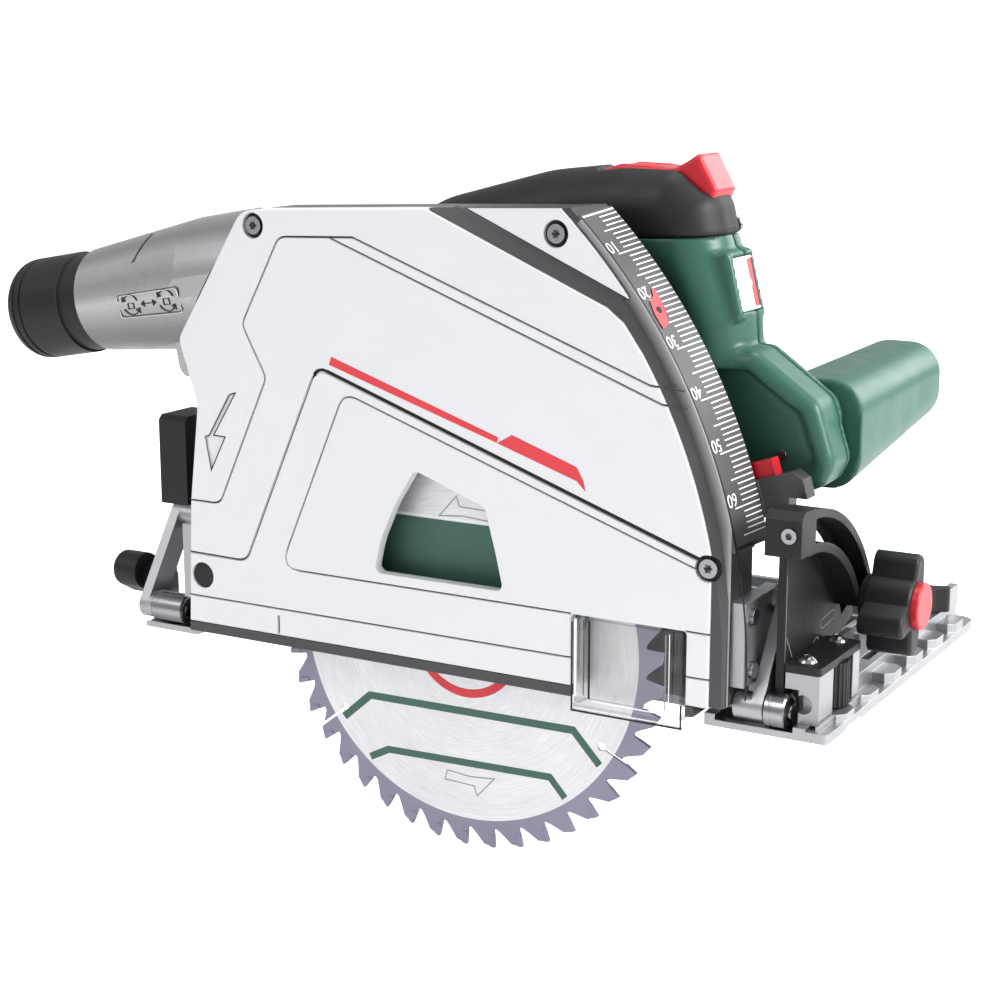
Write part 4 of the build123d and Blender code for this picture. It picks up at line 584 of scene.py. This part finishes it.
def spout_print():
    """Twist symbols and seam line on the dust spout, as distances and angles, with painted shade outlining the
    recessed plate and a painted highlight beside it.
    """
    plate = rounded([(-19.5, 88.0, 2), (13.5, 88.0, 2), (13.5, 109.5, 2), (-19.5, 109.5, 2)])
    plate = plate + plate[:1]
    # dark outline round the recessed plate: painted shade
    shapes = strip_shapes(plate, 0.55)
    for s in (-12.5, 7.0):
        for start in (20.0, 200.0):
            end = start + 115.0
            arc = [(s + u, 98.6 + v * 2.3) for u, v in arc_points((0, 0), 4.2, start, end, 12)]
            shapes += strip_shapes(arc, 0.8)
            (u, v), (c, d) = arc[-1], polar((0.0, 0.0), 1.0, end)
            shapes.append([(u + 1.5 * c, v + 3.4 * d), (u - 1.5 * c, v - 3.4 * d), (u - 2.2 * d, v + 5.0 * c)])
        lock = [(s - 1.5, 96.8), (s + 1.5, 96.8), (s + 1.5, 102.2), (s - 1.5, 102.2), (s - 1.5, 96.8)]
        shapes += strip_shapes(lock, 0.55)
    shapes += strip_shapes([(-5.4, 98.8), (-0.2, 98.8)], 0.8)
    shapes += [[(-7.2, 98.8), (-5.0, 95.6), (-5.0, 102.0)], [(1.6, 98.8), (-0.6, 102.0), (-0.6, 95.6)]]
    shapes += strip_shapes([(2.0, 22.0), (2.4, 32.0), (3.2, 44.0), (4.6, 56.0), (5.6, 58.0)], 0.8)
    print_piece("spout_symbols", shapes, on_spout, DARK_INK_AND_SHADE, "guard")
    # painted highlight beside the plate's outline
    light = strip_shapes([(s + 0.5, angle + 1.3) for s, angle in plate], 0.35)
    print_piece("spout_highlights", light, on_spout, WHITE_INK_AND_HIGHLIGHT, "guard")


def guard_edges():
    """Painted highlights and shade: bright, grey and dark lines along the edges of the clear chip guard."""
    (x0, y, z0), (x1, _, z1) = [[value / MM for value in corner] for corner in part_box("chip_guard")]
    dark = strips(
        ([(x0 + 0.5, z1 - 1.0), (x0 + 0.5, z0 + 0.4), (x1 - 0.5, z0 + 0.4), (x1 - 0.5, z0 + 9.0)], 0.7),
        ([(x0 + 7.4, 34.0), (x0 + 7.4, 5.0)], 0.9), ([(x0 + 5.2, 34.0), (x0 + 5.2, 6.0)], 0.35))
    light = strips(
        ([(x0 + 1.9, 34.0), (x0 + 1.9, 5.2)], 1.1), ([(x0 + 8.6, 4.4), (x1 - 6.0, 4.2)], 0.5),
        ([(x0 + 1.5, z0 + 1.4), (x1 - 1.4, z0 + 1.4)], 0.4), ([(x1 - 5.2, 33.5), (x1 - 5.2, 4.8)], 0.4))
    grey = strips(([(x0 + 7.8, 5.2), (x1 - 6.0, 5.0)], 0.3), ([(x1 - 6.6, 33.0), (x1 - 6.6, 5.6)], 0.5))
    for name, shapes, material in (("clear_edge_shade", dark, DARK_INK_AND_SHADE), ("clear_edge_highlights", light, WHITE_INK_AND_HIGHLIGHT),
                                   ("clear_edge_grey_highlights", grey, GREY_INK_AND_HIGHLIGHT)):
        print_piece(name, shapes, plane(y - 0.05), material, "chip_guard_slide")


def sleeve(name, x0, x1, radius, body):
    """Bright turned sleeve with chamfered ends and a groove, over a pivot barrel of the bevel axis."""
    inner, bevel, groove = radius - 1.6, radius - 0.5, radius - 0.12
    profile = [(x0, inner), (x0, bevel), (x0 + 0.5, radius), (x0 + 2.0, radius), (x0 + 2.2, groove),
               (x0 + 2.8, groove), (x0 + 3.0, radius), (x1 - 0.5, radius), (x1, bevel), (x1, inner)]
    turns = 48
    verts = [(x, *polar((0.0, BEVEL_Z), r, 360.0 * i / turns)) for i in range(turns) for x, r in profile]
    count = len(profile)
    faces = [(i * count + j, i * count + j + 1, (i + 1) % turns * count + j + 1, (i + 1) % turns * count + j)
             for i in range(turns) for j in range(count - 1)]
    smooth(mesh_piece(name, verts, faces, STEEL, body).data, 30)


def sector_print():
    """Painted shade filling the slot and bore on the web of the front bevel quadrant, and painted highlights along
    their edges and fold lines.
    """
    slot = rounded([(35.5, 28.4, 1.6), (49.0, 29.6, 1.6), (49.0, 33.0, 1.6), (35.5, 31.8, 1.6)])
    bore = arc_points((31.5, 23.6), 3.0, 0, 360, 24)
    print_piece("sector_hole_shade", [slot, bore[:-1]], lambda y, z: (SECTOR_X + 0.04, y, z), DARK_INK_AND_SHADE, "base")
    lines = strips(
        (bore, 0.35), (slot + slot[:1], 0.3), ([(3.0, 33.5), (9.5, 24.0), (24.0, 17.5), (60.0, 17.0)], 0.4),
        ([(2.0, 56.0), (2.0, 24.0)], 0.35))
    print_piece("sector_edge_highlights", lines, lambda y, z: (SECTOR_X + 0.06, y, z), GREY_INK_AND_HIGHLIGHT, "base")


def blade_print():
    """Coloured ring, bands, label, stripe and arrows printed on the blade."""
    bands = strips(
        ([(-55.4, -24.0), (-43.2, -13.3), (45.6, -12.4), (56.5, -24.0)], 3.0),
        ([(-43.4, -38.4), (-35.0, -34.0), (36.0, -32.3), (42.4, -39.3)], 2.8))
    print_piece("blade_bands", bands, on_blade, GREEN_INK, "blade")
    ring = strip_shapes(arc_points(BLADE_AXIS, 22.0, 0, 360, 72), 3.3)
    print_piece("blade_ring", ring, on_blade, RED_INK, "blade")
    label = [(-44.0, 60.2), (44.0, 60.2), (57.0, 46.0), (50.0, 26.0), (16.5, 26.0)]
    label += arc_points(BLADE_AXIS, 18.0, 34.0, 146.0, 20) + [(-50.0, 26.0), (-57.0, 46.0)]
    print_piece("blade_label", [label], plane(BLADE_Y - 0.08), GREEN_INK, "blade")
    stripe = strip_shapes([(-44.8, 61.0), (44.8, 61.0)], 0.9)
    print_piece("blade_stripe", stripe, on_blade, WHITE_INK_AND_HIGHLIGHT, "blade")
    arrow = [(-8.4, -37.6), (1.9, -38.4), (12.3, -37.4), (4.8, -45.6), (3.5, -41.8), (-9.4, -41.4), (-8.4, -37.6)]
    opposite = [(1.0 - x, 24.3 - z) for x, z in arrow]
    print_piece("blade_arrows", strips((arrow, 0.45), (opposite, 0.45)), on_blade, GREY_INK_AND_HIGHLIGHT, "blade")


# ---- soft moulded shapes --------------------------------------------------------------
def rounded(points, steps=6):
    """Closed polyline with arcs at the corners that carry a radius."""
    path = []
    count = len(points)
    for i, point in enumerate(points):
        corner = np.array(point[:2], float)
        radius = point[2] if len(point) > 2 else 0
        if radius == 0:
            path.append(tuple(corner))
            continue
        d1 = np.array(points[i - 1][:2], float) - corner
        d2 = np.array(points[(i + 1) % count][:2], float) - corner
        d1 /= np.linalg.norm(d1)
        d2 /= np.linalg.norm(d2)
        half = math.acos(max(-1.0, min(1.0, float(d1 @ d2)))) / 2
        reach = radius / math.tan(half)
        start, end = corner + d1 * reach, corner + d2 * reach
        middle = (d1 + d2) / np.linalg.norm(d1 + d2)
        centre = corner + middle * (radius / math.sin(half))
        a0 = math.atan2(*(start - centre)[::-1])
        sweep = (math.atan2(*(end - centre)[::-1]) - a0 + math.pi) % (2 * math.pi) - math.pi
        for s in range(steps + 1):
            a = a0 + sweep * s / steps
            path.append((centre[0] + radius * math.cos(a), centre[1] + radius * math.sin(a)))
    return path


def polygon_distance(points, u, v):
    """Signed distance to a closed polygon, negative inside."""
    best = np.full(u.shape, 1e12)
    inside = np.zeros(u.shape, bool)
    for (ax, ay), (bx, by) in zip(points, points[1:] + points[:1]):
        ex, ey = bx - ax, by - ay
        wx, wy = u - ax, v - ay
        t = np.clip((wx * ex + wy * ey) / max(ex * ex + ey * ey, 1e-12), 0, 1)
        best = np.minimum(best, (wx - ex * t) ** 2 + (wy - ey * t) ** 2)
        if abs(ey) > 1e-12:
            crosses = ((ay <= v) & (v < by)) | ((by <= v) & (v < ay))
            inside ^= crosses & (u < ax + wy / ey * ex)
    return np.where(inside, -1.0, 1.0) * np.sqrt(best)


def pillow(side, slab, radius):
    """Extrusion with rounded edges, from the distances to its outline and to its two flat sides."""
    a, b = side + radius, slab + radius
    return np.minimum(np.maximum(a, b), 0) + np.hypot(np.maximum(a, 0), np.maximum(b, 0)) - radius


def blend_union(a, b, soft):
    """Union of two distance fields with a rounded inner corner."""
    h = np.clip(0.5 + 0.5 * (b - a) / soft, 0, 1)
    return b * (1 - h) + a * h - soft * h * (1 - h)


def soft_cut(a, b, soft):
    """Shape a without shape b, with a rounded rim."""
    return -blend_union(-a, b, soft)


class Field:
    """Distance field on a regular grid, in millimetres."""

    def __init__(self, low, high, step):
        self.low, self.step = np.array(low, float), step
        axes = [np.arange(a, b + step, step) for a, b in zip(low, high)]
        self.x, self.y, self.z = np.meshgrid(*axes, indexing="ij", sparse=True)
        self.u, self.w = np.meshgrid(axes[0], axes[2], indexing="ij")

    def profile(self, points):
        """Distance to an (X, Z) outline, ready to combine with Y."""
        return polygon_distance(points, self.u, self.w)[:, None, :]

    def mesh(self, name, values, material, body, slot):
        """Piece on the zero surface of the field, with one vertex in each grid cell that it crosses."""
        values = np.broadcast_to(values, (self.x.shape[0], self.y.shape[1], self.z.shape[2])).copy()
        for axis in range(3):                   # keeps the surface off the grid's border
            border = [slice(None)] * 3
            for end in (0, -1):
                border[axis] = end
                values[tuple(border)] = np.maximum(values[tuple(border)], 0.01)
        inside = values < 0
        corners = [(i, j, k) for i in (0, 1) for j in (0, 1) for k in (0, 1)]
        n = np.array(values.shape) - 1
        count = np.zeros(n, np.int8)
        for c in corners:
            count += inside[c[0]:n[0] + c[0], c[1]:n[1] + c[1], c[2]:n[2] + c[2]]
        cells = np.argwhere((count > 0) & (count < len(corners)))
        index = np.full(n, -1, np.int64)
        index[tuple(cells.T)] = np.arange(len(cells))
        total = np.zeros((len(cells), 3))
        hits = np.zeros(len(cells))
        for a in corners:
            for axis in range(3):
                if a[axis]:
                    continue
                b = tuple(v + (1 if i == axis else 0) for i, v in enumerate(a))
                fa = values[tuple((cells + a).T)]
                fb = values[tuple((cells + b).T)]
                mask = (fa < 0) != (fb < 0)
                t = np.where(mask, fa / np.where(mask, fa - fb, 1), 0)
                point = np.array(a, float)[None, :] + t[:, None] * (np.array(b) - a)[None, :]
                total += point * mask[:, None]
                hits += mask
        verts = (self.low + (cells + total / hits[:, None]) * self.step) * MM
        faces = []
        for axis in range(3):
            b, c = (axis + 1) % 3, (axis + 2) % 3
            lo = [slice(1, -1)] * 3
            hi = [slice(1, -1)] * 3
            lo[axis], hi[axis] = slice(0, -1), slice(1, None)
            first, second = inside[tuple(lo)], inside[tuple(hi)]
            for mask, flip in ((first & ~second, False), (~first & second, True)):
                at = np.argwhere(mask)
                at += [0 if i == axis else 1 for i in range(3)]
                sb, sc = np.eye(3, dtype=int)[b], np.eye(3, dtype=int)[c]
                quad = [index[tuple((at - o).T)] for o in (0 * sb, sb, sb + sc, sc)]
                faces.append(np.stack(quad[::-1] if flip else quad, 1))
        mesh = new_mesh(name, verts.tolist(), np.concatenate(faces).tolist())
        obj = add_piece(mesh, material, body)
        smooth(mesh, 40)
        return obj


# ---- handle ---------------------------------------------------------------------------
HANDLE = rounded([
    (-62.0, 82.0, 8), (-62.0, 160.0, 16), (-30.0, 175.6, 40), (14.0, 187.0, 60), (47.0, 190.6, 40),
    (68.0, 190.4, 10), (81.5, 179.5, 12), (84.5, 167.0, 20), (94.8, 138.0, 14), (95.6, 127.6, 2),
    (100.5, 127.3, 4), (124.2, 110.6, 7), (131.0, 89.5, 7), (126.8, 81.5, 6), (112.0, 74.5, 10),
    (70.0, 62.0, 20), (20.0, 56.0), (-36.0, 62.0),
])
HAND_HOLE = rounded([(-38.0, 104.0, 12), (-38.0, 143.0, 14), (-2.0, 151.5, 30), (40.0, 153.5, 20), (60.0, 148.0, 12),
                     (64.0, 122.0, 20), (60.0, 102.0, 12)])
# the wide part of the body, below the hand
LOWER = rounded([(-62.0, 82.0, 8), (-62.0, 102.0, 6), (60.0, 102.0, 8), (72.0, 127.0, 6), (100.5, 127.3, 4),
                 (124.2, 110.6, 7), (131.0, 89.5, 7), (126.8, 81.5, 6), (112.0, 74.5, 10), (70.0, 62.0, 20),
                 (20.0, 56.0), (-36.0, 62.0)])
# the recessed field on the near side of the front foot
PAD = rounded([(66.0, 119.0, 6), (98.0, 120.0, 5), (117.5, 106.5, 6), (123.5, 90.5, 6), (120.0, 84.5, 5),
               (100.0, 78.0, 10), (70.0, 70.0, 10)])
PAD_Y, PAD_GROOVE_Y = 29.6, 29.8
# the rubber grip is above this line
SPLIT = [(-80.0, 160.0), (10.0, 165.0), (60.0, 165.8), (82.0, 166.6), (96.0, 169.5), (96.0, 240.0), (-80.0, 240.0)]
SPOUT_RING, SPOUT_RING_END = (84.0, 148.0), math.radians(42.0)     # radii about the plunge axis, and an angle
BADGE = (90.6, 42.0, 149.5)
BADGE_TILT = math.radians(14.0)


def column(f, x0, x1, half_y, z0):
    """Distance to the space above z0, between two X and within half_y of the handle's seam."""
    middle, half_x = (x0 + x1) / 2, (x1 - x0) / 2
    return np.maximum(np.abs(f.x - middle) - half_x, z0 - f.z), np.abs(f.y - SEAM_Y) - half_y


def spout_path(f):
    """Distance to the ring about the plunge axis that the dust spout fills as the head swings."""
    dx, dz = f.x - PLUNGE_AXIS[0], f.z - PLUNGE_AXIS[1]
    reach = np.hypot(dx, dz)
    behind = dx * math.sin(SPOUT_RING_END) - dz * math.cos(SPOUT_RING_END)
    ring = np.maximum(np.maximum(reach - SPOUT_RING[1], SPOUT_RING[0] - reach), behind)
    return np.maximum(ring, f.y - 41.8)


def handle_fields():
    """Distance field of the handle with its openings, and the grid it is on."""
    f = Field((-66, 22, 52), (134, 71, 196), 0.9)
    hole = f.profile(HAND_HOLE)
    loop = np.maximum(f.profile(HANDLE), -hole)
    across = np.where(f.y < SEAM_Y, SEAM_Y - f.y, (f.y - SEAM_Y) * 1.35)
    upper = pillow(np.maximum(loop, 104.0 - f.z), across - 20.0, 16.5)
    taper = np.maximum(f.y - 47.0, 0) * 0.55 * np.clip((f.x - 75.0) / 15.0, 0, 1)
    lower = pillow(np.maximum(f.profile(LOWER) + taper, -hole), np.abs(f.y - 48.0) - 19.5, 4.5)
    body = blend_union(upper, lower, 2.5)
    pad = f.profile(PAD)
    groove = np.maximum(np.abs(pad) - 0.9, f.y - PAD_GROOVE_Y)
    body = soft_cut(np.maximum(body, -np.maximum(pad, f.y - PAD_Y)), groove, 0.8)
    motor = np.hypot(f.x - MOTOR_AXIS[0], f.z - MOTOR_AXIS[1]) - 31.4
    body = soft_cut(np.maximum(body, -motor), spout_path(f), 1.5)
    trigger = np.maximum(np.maximum(*column(f, 20.0, 57.0, 8.0, 143.0)), f.z - 162.0)
    return f, np.maximum(body, -trigger)


def badge_axes(f):
    """Distance out of the badge plane and along it, for the point grid."""
    dx, dz = f.x - BADGE[0], f.z - BADGE[2]
    c, s = math.cos(BADGE_TILT), math.sin(BADGE_TILT)
    return dx * c + dz * s, dz * c - dx * s


def make_handle():
    """Soft-cornered shells, grip and the dark core behind their seams."""
    f, body = handle_fields()
    out, along = badge_axes(f)
    boss_side = np.maximum(np.abs(along) - 12.4, np.abs(f.y - 41.6) - 11.2)
    body = blend_union(body, pillow(boss_side, np.maximum(out - 1.6, -16.0 - out), 2.6), 2.0)
    split = f.profile(SPLIT)
    recess = np.maximum(np.maximum(np.abs(along) - 9.9, np.abs(f.y - BADGE[1]) - 8.9), -1.6 - out)
    shell = np.maximum(soft_cut(body, recess, 0.6), 0.35 - split)
    gap, round_edge = 0.45, 0.5
    near = f.mesh("handle_shell_near", pillow(shell, f.y - SEAM_Y + gap, round_edge), GREEN, "head", "green_plastic")
    far = f.mesh("handle_shell_far", pillow(shell, SEAM_Y + gap - f.y, round_edge), GREEN, "head", "green_plastic")
    slot = pillow(*column(f, 34.4, 83.6, 10.2, 181.0), 2.0)
    grip = soft_cut(pillow(body - 0.5, split + 0.1, 0.8), slot, 0.8)
    rubber = f.mesh("grip_cover", grip, RUBBER, "head", "rubber_grip")
    core = np.maximum(np.maximum(body + 1.6, -slot), 0.3 - recess)
    f.mesh("handle_core", core, BLACK, "head", "green_plastic")
    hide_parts("handle_near")
    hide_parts("handle_far")
    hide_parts("handle_grip")


def make_slider():
    """Lock-off slider with its finger notches and raised front ramp."""
    f = Field((33, 32, 176), (86, 58, 198), 0.6)
    side = rounded([(35.5, 183.0), (35.8, 188.2, 1.5), (43.5, 190.7, 6), (56.0, 190.4, 8), (64.5, 189.4, 6),
                    (70.0, 192.4, 4), (74.3, 195.2, 1.0), (77.2, 190.0, 10), (81.6, 182.4, 1.5), (80.0, 178.5),
                    (60.0, 180.0)])
    across = np.abs(f.y - SEAM_Y)
    values = pillow(f.profile(side), across - 9.2, 1.8)
    for i in range(4):
        notch = np.hypot(f.x - 43.0 - i * 4.3, f.z - 192.0) - 2.4
        values = soft_cut(values, np.maximum(notch, across - 6.0), 0.4)
    slider = f.mesh("slider_cap", values, RED, "lock_off_slider", "red_plastic")
    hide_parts("lock_off")


def badge_print():
    """Blank coloured fields on the badge."""
    normal = Vector((0.97, -0.05, 0.24)).normalized()
    across = Vector((0, 1, 0))
    across = (across - normal * across.dot(normal)).normalized()
    up = normal.cross(across)

    def raised(lift):
        return lambda u, v: tuple(Vector(BADGE) + normal * lift + across * u + up * v)

    field = [(3.4, -8.6), (7.4, -8.6), (7.4, 8.6), (3.4, 8.6), (3.4, 2.0), (4.6, 0.0), (3.4, -2.0)]
    print_piece("badge_red", [field], raised(0.86), RED_INK, "head")
    edge = [(6.6, -8.8), (8.0, -8.8), (8.0, 8.8), (6.6, 8.8)]
    print_piece("badge_dark", [edge], raised(0.89), DARK_INK_AND_SHADE, "head")


def make_bar():
    """Side handle with a soft, slightly tapering section."""
    f = Field((93, 49, 74), (138, 156, 122), 1.0)
    t = (f.y - 67.6) / 83.4                     # 0 at the collar, 1 at the far end
    half_x, half_z, corner = 17.8 - 1.4 * t, 19.2 - 3.9 * t, 12.5
    side = pillow(np.abs(f.x - 115.0) - half_x, np.abs(f.z - 97.5 - 6.0 * t) - half_z, corner)
    values = np.maximum(pillow(side, f.y - 151.0, 9.0), 51.0 - f.y)
    bar = f.mesh("side_bar", values, GREEN, "head", "green_plastic")
    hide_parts("side_handle")


# ---- stage ----------------------------------------------------------------------------
# in metres: place, power and size of each lamp, the point they aim at, and the floor below the part
LIGHTS = (
    ("key", (-1.0, -1.4, 1.6), 9.0, 1.0), ("top", (0.1, 0.3, 2.0), 13.0, 1.2),
    ("front_right", (1.8, 0.1, 1.0), 34.0, 0.8), ("back", (0.9, 1.9, 0.9), 14.0, 1.2),
)
LIGHT_AIM = Vector((0, 0.03, 0.07))
FLOOR_GAP = 0.02
WORLD_LIGHT, FLOOR_GLOW = 0.52, 0.55
CAMERA_PLACE, CAMERA_VIEW = (0.3712, -0.6226, 0.2305), Vector((-0.4853, 0.8468, -0.2178))


def place_in_scene(name, data, location, direction):
    """Adds a camera or lamp that looks along a direction."""
    obj = bpy.data.objects.new(name, data)
    obj.location = location
    obj.rotation_mode = "QUATERNION"
    obj.rotation_quaternion = direction.to_track_quat("-Z", "Y")
    bpy.context.scene.collection.objects.link(obj)
    return obj


def studio_world():
    """Soft white light, with a plain white background for the camera."""
    world = bpy.data.worlds.new("studio")
    bpy.context.scene.world = world
    world.use_nodes = True
    nodes, links = world.node_tree.nodes, world.node_tree.links
    light = nodes["Background"]
    light.inputs[0].default_value = (1, 1, 1, 1)
    light.inputs[1].default_value = WORLD_LIGHT
    bright = nodes.new("ShaderNodeBackground")
    bright.inputs[1].default_value = 1.0
    path = nodes.new("ShaderNodeLightPath")
    both = nodes.new("ShaderNodeMixShader")
    links.new(path.outputs["Is Camera Ray"], both.inputs[0])
    links.new(light.outputs[0], both.inputs[1])
    links.new(bright.outputs[0], both.inputs[2])
    links.new(both.outputs[0], nodes["World Output"].inputs["Surface"])


def paper_material():
    """Pale paper that glows a little for the camera only."""
    g = Graph("floor_paper")
    speck = g.noise(900.0, 2.0)
    tint = g.mix(g.noise(3.0, 2.0), (0.92, 0.92, 0.925, 1), (0.95, 0.95, 0.95, 1))
    seen = g.add("ShaderNodeLightPath").outputs["Is Camera Ray"]
    return g.surface(Base_Color=tint, Roughness=g.remap(speck, 0.3, 0.7, 0.8, 0.95),
                     Normal=g.bump(speck, 0.05, 0.1 * MM, g.flat_normal()), Emission_Color=(1, 1, 1, 1),
                     Emission_Strength=g.math("MULTIPLY", seen, FLOOR_GLOW))


def stage():
    """Pale floor, soft light and the camera."""
    scene = bpy.context.scene
    studio_world()
    z = CAD_LOW.z - FLOOR_GAP
    profile = [(-14.0, z), (3.0, z), (4.0, z + 0.15), (4.8, z + 0.7), (5.2, z + 8.0)]
    verts = [(x, y, z) for x in (-12.0, 12.0) for y, z in profile]
    count = len(profile)
    mesh = new_mesh("floor", verts, [(i, i + 1, count + i + 1, count + i) for i in range(count - 1)])
    mesh.materials.append(paper_material())
    floor = bpy.data.objects.new("floor", mesh)
    scene.collection.objects.link(floor)
    for name, place, power, size in LIGHTS:
        data = bpy.data.lights.new(name, "AREA")
        data.energy = power
        data.size = size
        place_in_scene(name, data, place, LIGHT_AIM - Vector(place))
    camera = bpy.data.cameras.new("camera")
    camera.lens = 72.56
    camera.sensor_width = 36.0
    scene.camera = place_in_scene("camera", camera, CAMERA_PLACE, CAMERA_VIEW)
    scene.view_settings.view_transform = "Standard"
    scene.view_settings.look = "Medium High Contrast"


dress_cad()
make_handle()
make_bar()
make_slider()
badge_print()
scale_print()
scale_marker()
cover_print()
rim_print()
groove_print()
spout_print()
guard_edges()
sleeve("front_sleeve", 121.5, 129.2, 6.55, "base")
sleeve("rear_sleeve", -146.2, -130.9, 6.35, "base")
sector_print()
blade_print()
stage()
